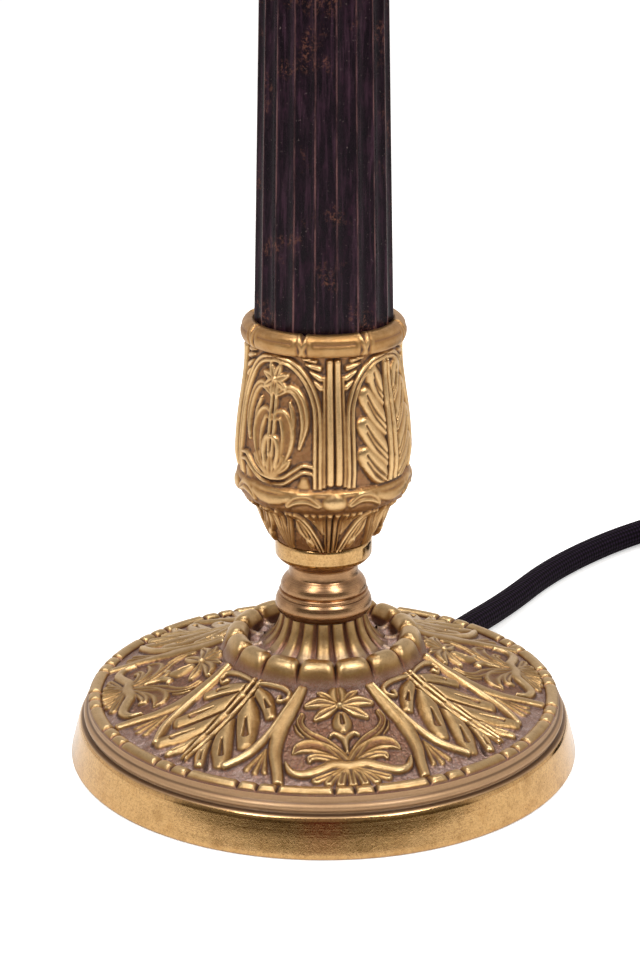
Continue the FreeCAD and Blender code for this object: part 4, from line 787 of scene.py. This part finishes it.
def make_plain_ring():
    ring = spun("plain_polished_ring", [
        [(5.15, 51.3), (9.8, 51.3)],
        [(9.8, 51.3), (11.0, 51.9), (11.9, 52.8), (12.2, 53.4)],
        [(12.2, 53.4), (12.25, 55.0), (12.2, 56.6)],
        [(12.2, 56.6), (12.05, 57.2), (11.7, 57.4)],
        [(11.7, 57.4), (5.15, 57.4)],
        [(5.15, 57.4), (5.15, 51.4)],
    ], steps=128)
    finished(ring, polished_brass, stands_for=("plain_ring",), smooth=35)


def double_moulding(field, across, up, points, spread, half, high):
    """Two thin ridges side by side along a line."""
    for side in (-1, 1):
        shifted = [(x + side * spread * nx, y + side * spread * ny, half) for x, y, nx, ny in points]
        stroke(field, across, up, shifted, high)


def flower_arch(field, across, up):
    """Half the arch with the flower: across is measured from the arch's middle, up is the height."""
    stroke(field, across, up, [(0.9, 99.0, 0.8), (4.6, 100.8, 1.3), (7.6, 98.2, 1.5), (8.8, 92.8, 1.3),
                               (7.6, 86.6, 0.45)], 1.15, creased)
    stroke(field, across, up, [(4.6, 97.4, 0.5), (5.7, 94.0, 0.8), (5.9, 89.6, 0.4)], 0.85)
    stroke(field, across, up, [(0.5, 93.4, 1.0), (2.8, 94.2, 1.7), (4.4, 90.8, 2.1), (4.2, 86.2, 1.7),
                               (3.0, 81.6, 0.5)], 1.3, ringed)
    stroke(field, across, up, [(0.3, 88.6, 0.7), (1.5, 88.2, 1.0), (2.1, 85.4, 0.95), (1.5, 81.4, 0.5)], 1.15)
    stroke(field, across, up, [(0.65, 100.5, 0.6), (0.7, 92, 0.6), (0.5, 84, 0.6)], 1.1)
    for tip_x, tip_y in ((1.4, 106.0), (3.6, 103.9), (3.2, 100.8), (0.8, 98.9)):
        stroke(field, across, up, [(0.3, 102.6, 0.7), (tip_x * 0.6, 102.6 + (tip_y - 102.6) * 0.6, 1.25),
                                   (tip_x, tip_y, 0.75)], 1.4, creased)
    stroke(field, across, up, [(0, 102.6, 0.85), (0, 102.7, 0.85)], 1.8)
    for tip_x, tip_y in ((0.2, 84.6), (1.9, 84.9), (3.6, 84.2), (5.2, 83.4)):
        stroke(field, across, up, [(0.2, 78.6, 0.6), (tip_x * 0.75, 81.6, 1.0), (tip_x, tip_y, 0.5)],
               1.1, creased)
    for drop in (0.0, 1.7):
        stroke(field, across, up, [(0, 78.3 - drop, 0.6), (3.4, 79.0 - drop, 0.65), (6.2, 81.0 - drop, 0.65),
                                   (8.6, 82.6 - drop, 0.65), (11.0, 82.3 - drop, 0.6)], 1.1)
    stroke(field, across, up, [(8.7, 77.2, 1.8), (8.8, 78.8, 1.1)], 0.75)


def acanthus_arch(field, across, up):
    """Half the arch with the acanthus leaf: a double rib and broad slanted lobes that point up and out."""
    for root_y, tip_y, tip_x in ((97.0, 104.2, 5.2), (89.6, 99.0, 7.6), (82.2, 91.8, 8.4), (76.4, 84.6, 8.6)):
        leaf = np.zeros_like(field)
        middle = (0.55 * tip_x + 0.6, 0.45 * root_y + 0.55 * tip_y - 0.6)
        stroke(leaf, across, up, [(1.6, root_y, 2.0), (*middle, 3.2), (tip_x, tip_y, 2.4)], 1.3, pillowed)
        for shift in (-0.9, 0.8):
            cut(leaf, across, up, [(2.2, root_y + 0.8 + shift, 0.15),
                                   (middle[0] + 0.2, middle[1] - 0.2 + shift, 0.4),
                                   (tip_x - 0.4, tip_y - 0.8 + shift, 0.3)], 0.65)
        np.maximum(field, leaf, out=field)
        cut(field, across, up, [(1.6, root_y - 2.2, 0.3), (middle[0] + 1.2, middle[1] - 3.3, 0.55),
                                (tip_x + 1.8, tip_y - 3.0, 0.8)], 1.25)
    cut(field, across, up, [(1.9, 77, 0.3), (1.8, 105, 0.25)], 1.0)
    stroke(field, across, up, [(0.9, 76.8, 0.8), (0.85, 92, 0.75), (0.6, 106.4, 0.5)], 1.5)


def arch_and_pilaster(field, across, up, edge):
    """The arch's double moulding, and the pilaster and fans beside it.

    Across is measured from the arch's middle, and edge from the pilaster's.
    """
    double_moulding(field, across, up, [(12.0, 76.6, 1, 0), (12.0, 92.5, 1, 0), (11.3, 98.2, 0.96, 0.3),
                                        (8.9, 103.2, 0.8, 0.6), (5.0, 106.8, 0.5, 0.87), (0, 108.0, 0, 1)],
                    0.62, 0.62, 1.15)
    stroke(field, edge, up, [(1.0, 78.2, 1.0), (1.0, 107.9, 1.0)], 1.35, pillowed)
    stroke(field, edge, up, [(2.45, 77.2, 0.5), (2.45, 104.0, 0.5)], 0.95)
    for x0, y0, x1, y1 in ((8.2, 108.8, 4.9, 108.2), (7.4, 107.2, 3.7, 106.2), (6.2, 105.4, 3.4, 103.7),
                           (5.1, 103.1, 3.4, 101.4)):
        stroke(field, edge, up, [(x0, y0, 0.3), ((x0 + x1) / 2, (y0 + y1) / 2, 0.75), (x1, y1, 0.85)], 1.1)


def bowl_relief(field, edge, middle, up):
    """The bowl under the ledge: edge is the distance from the pilaster, middle from the arch's middle."""
    stroke(field, edge, up, [(0.75, 57.9, 0.7), (1.0, 70.4, 0.9)], 1.15)
    stroke(field, edge, up, [(1.9, 57.9, 0.4), (2.5, 70.4, 0.55)], 0.95)
    for spread in (0.0, 1.3):
        stroke(field, edge, up, [(2.7 + spread, 57.9, 0.5), (4.4 + spread, 61.2, 0.55),
                                 (7.2 + spread, 65.6, 0.6), (10.4 + spread, 69.4, 0.6)], 1.1)
    for x, y in ((3.4, 70.2), (5.2, 70.2), (7.0, 69.9)):
        stroke(field, edge, up, [(2.9, 63.4, 0.4), ((2.9 + x) / 2 + 0.3, 67.0, 0.8), (x, y, 0.85)], 1.1)
    stroke(field, edge, up, [(6.8, 60.2, 1.5), (7.6, 61.2, 1.4)], 1.3, pillowed)
    stroke(field, edge, up, [(8.4, 62.4, 1.1), (9.8, 64.6, 1.9), (10.6, 67.4, 0.7)], 1.25, creased)
    for x in (0.0, 2.2):
        stroke(field, middle, up, [(x * 0.4, 58.6, 0.7), (x, 64.0, 1.2), (x * 1.5, 69.2, 0.8)], 1.15, creased)


def ledge_relief(field, edge, middle, up):
    """The scalloped ledge: a boss at the pilaster, drooping leaves beside it and a swag between."""
    field += 0.35
    boss = np.clip(1 - (edge / 3.2) ** 2 - ((up - 73.3) / 2.4) ** 2, 0, 1) ** 0.5
    np.maximum(field, 1.35 * boss, out=field)
    stroke(field, edge, up, [(3.8, 72.8, 1.0), (6.4, 74.2, 1.7), (9.2, 73.8, 1.6), (11.2, 72.2, 0.7)],
           1.15, creased)
    stroke(field, middle, up, [(0, 73.0, 1.6), (3.2, 73.4, 1.4), (5.2, 74.2, 0.9)], 0.95, pillowed)
    rim = np.clip(1 - ((up - 75.2) / 0.8) ** 2, 0, 1) ** 0.5
    np.maximum(field, 0.75 * rim, out=field)


def torus_relief(field, angle, up):
    """Eight long bars on the top torus, tied with crossed leaves between them."""
    half_step = math.pi / TORUS_BARS
    turned = np.abs(from_nearest(angle, TORUS_BARS, PILASTER))
    share = turned / half_step
    inside = np.clip((up - 109.1) / 0.5, 0, 1)
    bar = np.clip((0.86 - share) / 0.07, 0, 1) ** 0.5
    rise = 0.15 + 0.55 * bar
    x = (turned - half_step) * BODY_RADIUS
    for lean in (-1, 1):
        rise = np.maximum(rise, 0.8 * np.clip(1 - ((x + lean * (up - 110.8) * 0.4) / 0.8) ** 2, 0, 1) ** 0.5)
    groove = np.exp(-((up - 112.2) / 0.3) ** 2) * np.clip((0.7 - share) / 0.05, 0, 1)
    np.maximum(field, inside * (rise - 0.3 * groove), out=field)


def basket_heights(angle, radius, level, along):
    """The basket's relief: it repeats in half a turn, with one arch of each kind."""
    turned = (angle - PILASTER) % math.pi
    quarter = turned % QUARTER
    flower_side = turned >= QUARTER
    edge = np.minimum(quarter, QUARTER - quarter) * BODY_RADIUS
    middle = np.abs(quarter - QUARTER / 2) * BODY_RADIUS
    field, flower, acanthus, sides, bowl, ledge = (np.zeros_like(angle) for _ in range(6))
    flower_arch(flower, middle, level)
    acanthus_arch(acanthus, middle, level)
    arch_and_pilaster(sides, middle, level, edge)
    bowl_relief(bowl, edge, middle, level)
    ledge_relief(ledge, edge, middle, level)
    body = (level > BODY_FOOT) & (level < BODY_TOP)
    field += np.where(flower_side, flower, acanthus) * body * (middle < ARCH_INSIDE)
    np.maximum(field, sides * (level > BODY_FOOT), out=field)
    np.maximum(field, bowl * (level < LEDGE_FOOT), out=field)
    np.maximum(field, ledge * ((level >= LEDGE_FOOT) & (level <= BODY_FOOT)), out=field)
    torus_relief(field, angle, level)
    rng = np.random.default_rng(11)
    lumps = softened(rng.normal(0, 1, field.shape), 2)
    fade = np.clip(along / 0.5, 0, 1)
    return softened((field + lumps * 0.2 * (1 - np.clip(field, 0, 0.9)) * (level < 108)) * fade, 1)


def basket_dust(angle, radius, level, along, field):
    """A little dust lies on the ledge and in the corners under the torus."""
    return np.clip(1 - field / 0.4, 0, 1) * (0.3 + 0.7 * ((level > 75.6) & (level < 78.2)))


def make_basket():
    section = turned_section([
        [(11.9, 57.5), (12.3, 58.3), (13.3, 59.9), (14.7, 63.1), (15.9, 66.3), (16.8, 68.0)],
        [(16.8, 68.0), (18.4, 69.3), (20.1, 70.6), (20.9, 71.8), (21.0, 73.2), (20.9, 75.0), (20.6, 76.0)],
        [(20.6, 76.0), (20.3, 76.9), (20.45, 78.6), (20.7, 80.6), (20.6, 83.6), (20.2, 88.3), (19.6, 92.9),
         (18.9, 97.5), (18.3, 102.2), (18.1, 106.2), (18.15, 108.6)],
        [(18.15, 108.6), (18.4, 109.1)],
        [(18.4, 109.1), (19.1, 109.6), (19.6, 110.7), (19.6, 112.0), (19.2, 113.0), (18.5, 113.65),
         (17.8, 113.8)],
        [(17.8, 113.8), (17.3, 113.6)],
        [(17.3, 113.6), (17.25, 111.0)],
    ])
    for half in range(2):
        start = PILASTER + half * math.pi + QUARTER / 2
        piece = relief_sheet(f"basket_relief_{half + 1}", section, start, start + math.pi, 270, 320,
                             basket_heights, basket_dust, top=1.2)
        finished(piece, basket_brass, smooth=60,
                 stands_for=("basket_casting",) if half == 0 else ())


def flute_heights(angle, radius, level, along):
    """Twenty hollow flutes with narrow lands between them."""
    turned = np.abs(from_nearest(angle, FLUTES, FLUTE_PHASE)) / (math.pi / FLUTES)
    from_land = np.clip((turned - 0.09) / 0.91, 0, 1)
    return 0.9 * (1 - np.clip(1 - (1 - from_land) ** 2, 0, 1))


def make_column():
    section = turned_section([[(16.3, 110.0), (11.8, 309.9)]])
    column = relief_sheet("fluted_lacquered_column", section, 0, math.tau, 80, 440, flute_heights,
                          top=0.9, wraps=True)
    places = places_of(column.data)
    turned = from_nearest(np.arctan2(places[:, 0], -places[:, 1]), FLUTES, FLUTE_PHASE)
    from_land = np.abs(turned) / (math.pi / FLUTES)
    carry(column, "arris", np.clip((0.12 - from_land) / 0.08, 0, 1))
    finished(column, column_lacquer, smooth=60, stands_for=("fluted_column",))


def capital_heights(angle, radius, level, along):
    """The capital repeats the basket's language: tied bars below and upright leaves on the bell."""
    field = np.zeros_like(angle)
    x = np.abs(from_nearest(angle, CAPITAL_LEAVES, PILASTER)) * CAPITAL_RADIUS
    bell = (level > 318.4) & (level < 332.2)
    leaves = np.zeros_like(angle)
    stroke(leaves, x, level, [(0, 318.6, 1.6), (0, 324, 2.2), (0, 329, 2.4), (0, 331.2, 1.2)], 1.1, creased)
    stroke(leaves, x, level, [(2.85, 318.6, 0.4), (2.85, 325, 0.5), (3.2, 331.6, 0.9)], 0.85)
    field += leaves * bell
    share = np.abs(from_nearest(angle, TORUS_BARS, PILASTER)) / (math.pi / TORUS_BARS)
    torus = np.clip((316.4 - level) / 0.5, 0, 1) * np.clip((level - 310.4) / 0.5, 0, 1)
    field += torus * 0.35 * np.clip((0.86 - share) / 0.05, 0, 1) ** 0.5
    lip = np.clip((level - 333.2) / 0.4, 0, 1)
    bead = (angle * 21 / 2.2) % 1 - 0.5
    field += lip * 0.35 * np.clip(1 - (bead / 0.42) ** 2, 0, 1) ** 0.5
    return softened(field, 1)


def make_capital():
    section = turned_section([
        [(13.0, 309.9), (14.4, 310.7), (15.2, 312.4), (15.2, 314.4), (14.4, 316.1), (13.2, 316.8)],
        [(13.2, 316.8), (12.2, 317.3), (11.9, 318.6), (12.0, 321.0), (12.6, 324.0), (14.0, 327.4),
         (16.6, 330.6), (19.0, 332.4)],
        [(19.0, 332.4), (20.4, 333.1), (20.6, 334.0), (20.5, 335.2), (19.9, 335.85)],
        [(19.9, 335.85), (17.0, 335.88)],
    ])
    capital = relief_sheet("capital_relief", section, 0, math.tau, 120, 640, capital_heights, basket_dust,
                           top=1.1, wraps=True)
    finished(capital, basket_brass, smooth=60, stands_for=("capital_casting",))


def make_drip_pan():
    """A shallow spun pan with a rolled rim and two turned rings round its floor."""
    pan = spun("spun_drip_pan", [
        [(5.2, 335.95), (17.4, 335.95), (18.5, 336.1)],
        [(18.5, 336.1), (21.5, 336.7), (24.6, 338.0), (26.2, 339.5)],
        [(26.2, 339.5), (26.7, 339.6), (26.98, 340.0), (26.8, 340.3), (26.3, 340.3), (25.8, 340.0)],
        [(25.8, 340.0), (24.0, 338.9), (21.2, 337.9), (18.4, 337.5)],
        [(18.4, 337.5), (17.9, 337.45), (17.6, 337.3), (17.2, 337.45)],
        [(17.2, 337.45), (12.6, 337.48)],
        [(12.6, 337.48), (12.3, 337.3), (12.0, 337.48)],
        [(12.0, 337.48), (5.2, 337.48)],
        [(5.2, 337.48), (5.2, 336.0)],
    ], steps=160)
    finished(pan, holder_brass, stands_for=("drip_pan",), smooth=35)


make_collar()
make_plain_ring()
make_drip_pan()
make_basket()
make_column()
make_capital()


# ---- the cord --------------------------------------------------------------------

# The coil is wound as the CAD has it: three turns inwards on the table, half a turn up, and three
# turns outwards on top.
COIL_MIDDLE = (161.0, 126.0, 4.7)
COIL_INNER, COIL_PITCH, COIL_TURNS, COIL_START = 29.4, 7.9, 3.0, 126.0


def coil_point(turns):
    """Where the coil is after that many turns."""
    angle = math.radians(COIL_START - 360 * turns)
    if turns <= COIL_TURNS:
        radius, rise = COIL_INNER + COIL_PITCH * (COIL_TURNS - turns), 0
    elif turns <= COIL_TURNS + 0.5:
        past = turns - COIL_TURNS
        share = past / 0.5
        radius = COIL_INNER - COIL_PITCH * past * (1 - share)
        rise = COIL_PITCH * share ** 2 * (3 - 2 * share)
    else:
        radius, rise = COIL_INNER + COIL_PITCH * (turns - COIL_TURNS - 0.5), COIL_PITCH
    return Vector((COIL_MIDDLE[0] + radius * math.cos(angle), COIL_MIDDLE[1] + radius * math.sin(angle),
                   COIL_MIDDLE[2] + rise))


def coil_way(turns):
    """Which way the coil runs there."""
    return (coil_point(turns + 0.002) - coil_point(max(turns - 0.002, 0))).normalized()


def cord_control_points():
    """The route that part.py lays, in millimetres: out of the foot, over the table and round the coil."""
    way_in = coil_way(0.0)
    coil_in = coil_point(0) - way_in * 7.3
    run_in = coil_in - way_in * 16.0
    run_in.z = coil_in.z = 4.7
    points = [Vector((23.3, 37.3, 5.9)), Vector((38.2, 61.1, 5.9)), Vector((53.8, 88.3, 3.7)),
              Vector((68.5, 115.0, 3.7)), Vector((89.0, 139.9, 3.7)), run_in, coil_in]
    points += [coil_point(step / 16) for step in range(0, 105)]
    points.append(coil_point(6.5) + coil_way(6.498) * 7.3)
    return points


def make_cord():
    """The braided lead, from inside the foot to the plug's guard."""
    route = cord_control_points()
    line = bpy.data.curves.new("cord_line", "CURVE")
    line.dimensions = "3D"
    spline = line.splines.new("NURBS")
    spline.points.add(len(route) - 1)
    for point, place in zip(spline.points, route):
        point.co = (*(place * MM), 1)
    spline.order_u = 3
    spline.use_endpoint_u = True
    line.resolution_u = 14
    guide = bpy.data.objects.new("cord_guide", line)
    bpy.context.scene.collection.objects.link(guide)
    bpy.context.view_layer.update()
    read = bpy.data.meshes.new_from_object(guide.evaluated_get(bpy.context.evaluated_depsgraph_get()))
    path = places_of(read)
    bpy.data.objects.remove(guide)
    cord = tube_round("cord_braided_lead", path, CORD_RADIUS * MM, 20)
    finished(cord, braid, stands_for=("power_cord", "cord_coil"), smooth=60)


def tube_round(name, path, radius, sides):
    """A tube along a path, with the distance along it and the turn round it kept as its own map."""
    ways = np.gradient(path, axis=0)
    ways /= np.linalg.norm(ways, axis=1)[:, None]
    side = np.cross(ways[0], (0, 0, 1.0))
    side /= np.linalg.norm(side)
    rings = []
    for place, way in zip(path, ways):
        side = side - way * np.dot(side, way)
        side /= np.linalg.norm(side)
        rise = np.cross(side, way)
        turn = np.arange(sides) / sides * math.tau
        rings.append(place + radius * (np.cos(turn)[:, None] * side + np.sin(turn)[:, None] * rise))
    count = len(path)
    bpy.ops.object.select_all(action="DESELECT")
    bpy.ops.mesh.primitive_grid_add(x_subdivisions=count - 1, y_subdivisions=sides, size=1)
    tube = bpy.context.active_object
    tube.name = name
    mesh = tube.data
    flat = places_of(mesh)
    ring = np.rint((flat[:, 0] + 0.5) * (count - 1)).astype(int)
    turn = np.rint((flat[:, 1] + 0.5) * sides).astype(int)
    mesh.vertices.foreach_set("co", np.array(rings)[ring, turn % sides].astype(np.float32).ravel())
    far = np.r_[0, np.cumsum(np.linalg.norm(np.diff(path, axis=0), axis=1))]
    corners = np.empty(len(mesh.loops), int)
    mesh.loops.foreach_get("vertex_index", corners)
    map_layer = mesh.uv_layers[0]
    map_layer.name = "along_and_round"
    laid = np.column_stack([far[ring[corners]] / (CORD_PICK * MM), turn[corners] / sides])
    map_layer.data.foreach_set("uv", laid.astype(np.float32).ravel())
    bpy.ops.object.mode_set(mode="EDIT")
    bpy.ops.mesh.select_all(action="SELECT")
    bpy.ops.mesh.remove_doubles(threshold=0.002 * MM)
    bpy.ops.mesh.select_all(action="DESELECT")
    bpy.ops.mesh.select_non_manifold(extend=False)
    bpy.ops.mesh.edge_face_add()
    bpy.ops.mesh.select_all(action="SELECT")
    bpy.ops.mesh.normals_make_consistent(inside=False)
    bpy.ops.object.mode_set(mode="OBJECT")
    return tube


make_cord()


# ---- floor, lights and camera ----------------------------------------------------

def make_backdrop():
    """A plain pale floor. It is white to the camera and keeps the lamp's soft shadow."""
    bpy.ops.object.select_all(action="DESELECT")
    bpy.ops.mesh.primitive_plane_add(size=8, location=(0, 0, 0))
    floor = bpy.context.active_object
    floor.name = "floor"
    finish = bpy.data.materials.new("pale_floor")
    finish.use_nodes = True
    tree = finish.node_tree
    shaded = add(tree, tree.nodes["Principled BSDF"], {
        "Base Color": paint("F4F2EF"), "Roughness": 0.9, "Specular IOR Level": 0.1})
    white = add(tree, "Emission", {"Color": (1, 1, 1, 1), "Strength": 0.52})
    total = add(tree, "AddShader", {0: shaded, 1: white})
    ray = add(tree, "LightPath", {}).node.outputs
    seen = add(tree, "Math", {0: ray["Is Camera Ray"], 1: ray["Is Transmission Ray"]}, operation="MAXIMUM")
    mixed = add(tree, "MixShader", {0: seen, 1: shaded, 2: total})
    tree.links.new(mixed, tree.nodes["Material Output"].inputs["Surface"])
    floor.data.materials.append(finish)


def make_world():
    """White behind the lamp and at its sides. In front, metal sees a dark studio with a warm middle."""
    world = bpy.data.worlds.new("studio")
    bpy.context.scene.world = world
    world.use_nodes = True
    tree = world.node_tree
    fill = add(tree, tree.nodes["Background"], {"Color": paint("F4F2F2"), "Strength": 0.5})
    white = add(tree, "Background", {"Color": (1, 1, 1, 1), "Strength": 1.0})
    way = add(tree, "TexCoord", {}, out="Generated")
    parts = add(tree, "SeparateXYZ", {"Vector": way}).node.outputs
    sideways = add(tree, "Math", {0: parts["X"]}, operation="ABSOLUTE")
    ahead = add(tree, "MapRange", {0: parts["Y"], 1: -0.42, 2: -0.28, 3: 1, 4: 0})
    low = add(tree, "MapRange", {0: parts["Z"], 1: 0.4, 2: 0.75, 3: 1, 4: 0.25})
    dark = add(tree, "Math", {0: ahead, 1: low}, operation="MULTIPLY")
    high_up = add(tree, "MapRange", {0: parts["Z"], 1: 0.25, 2: 0.7})
    beside = add(tree, "MapRange", {0: sideways, 1: 0.08, 2: 0.2})
    bright = add(tree, "Mix", {0: high_up, 6: paint("FCF5F0"), 7: paint("A9A3A2")}, out=2, data_type="RGBA")
    murky = add(tree, "Mix", {0: beside, 6: paint("6A3E34"), 7: paint("625A4A")}, out=2, data_type="RGBA")
    seen = add(tree, "Mix", {0: dark, 6: bright, 7: murky}, out=2, data_type="RGBA")
    pale = add(tree, "Background", {"Color": seen, "Strength": 1.0})
    ray = add(tree, "LightPath", {}).node.outputs
    through = add(tree, "Math", {0: ray["Is Camera Ray"], 1: ray["Is Transmission Ray"]}, operation="MAXIMUM")
    glossy = add(tree, "MixShader", {0: ray["Is Glossy Ray"], 1: fill, 2: pale})
    both = add(tree, "MixShader", {0: through, 1: glossy, 2: white})
    tree.links.new(both, tree.nodes["World Output"].inputs["Surface"])


def make_light(name, place, aim, width, height, power):
    """A softbox: a rectangle of light that looks at a point."""
    lamp = bpy.data.lights.new(name, "AREA")
    lamp.shape = "RECTANGLE"
    lamp.size, lamp.size_y = width, height
    lamp.energy = power
    holder = bpy.data.objects.new(name, lamp)
    holder.location = place
    holder.rotation_euler = (Vector(aim) - Vector(place)).to_track_quat("-Z", "Y").to_euler()
    bpy.context.scene.collection.objects.link(holder)


def make_camera():
    """The photograph's view, as solved from the two circles of the foot."""
    eye = bpy.data.cameras.new("camera")
    eye.sensor_width = 36
    eye.lens = 90
    holder = bpy.data.objects.new("camera", eye)
    holder.location = (0, -0.567, 0.2653)
    holder.rotation_euler = (math.radians(71.18), 0, math.radians(0.09))
    bpy.context.scene.collection.objects.link(holder)
    bpy.context.scene.camera = holder


make_backdrop()
make_world()
make_light("left_softbox", (-0.42, -0.6, 0.95), (0, 0, 0.1), 0.3, 0.5, 6)
make_light("right_softbox", (0.5, -0.55, 0.95), (0, 0, 0.1), 0.3, 0.5, 6)
make_light("top_softbox", (0, 0.2, 1.1), (0, 0, 0.1), 0.7, 0.45, 5)
make_camera()
bpy.context.scene.view_settings.view_transform = "Standard"
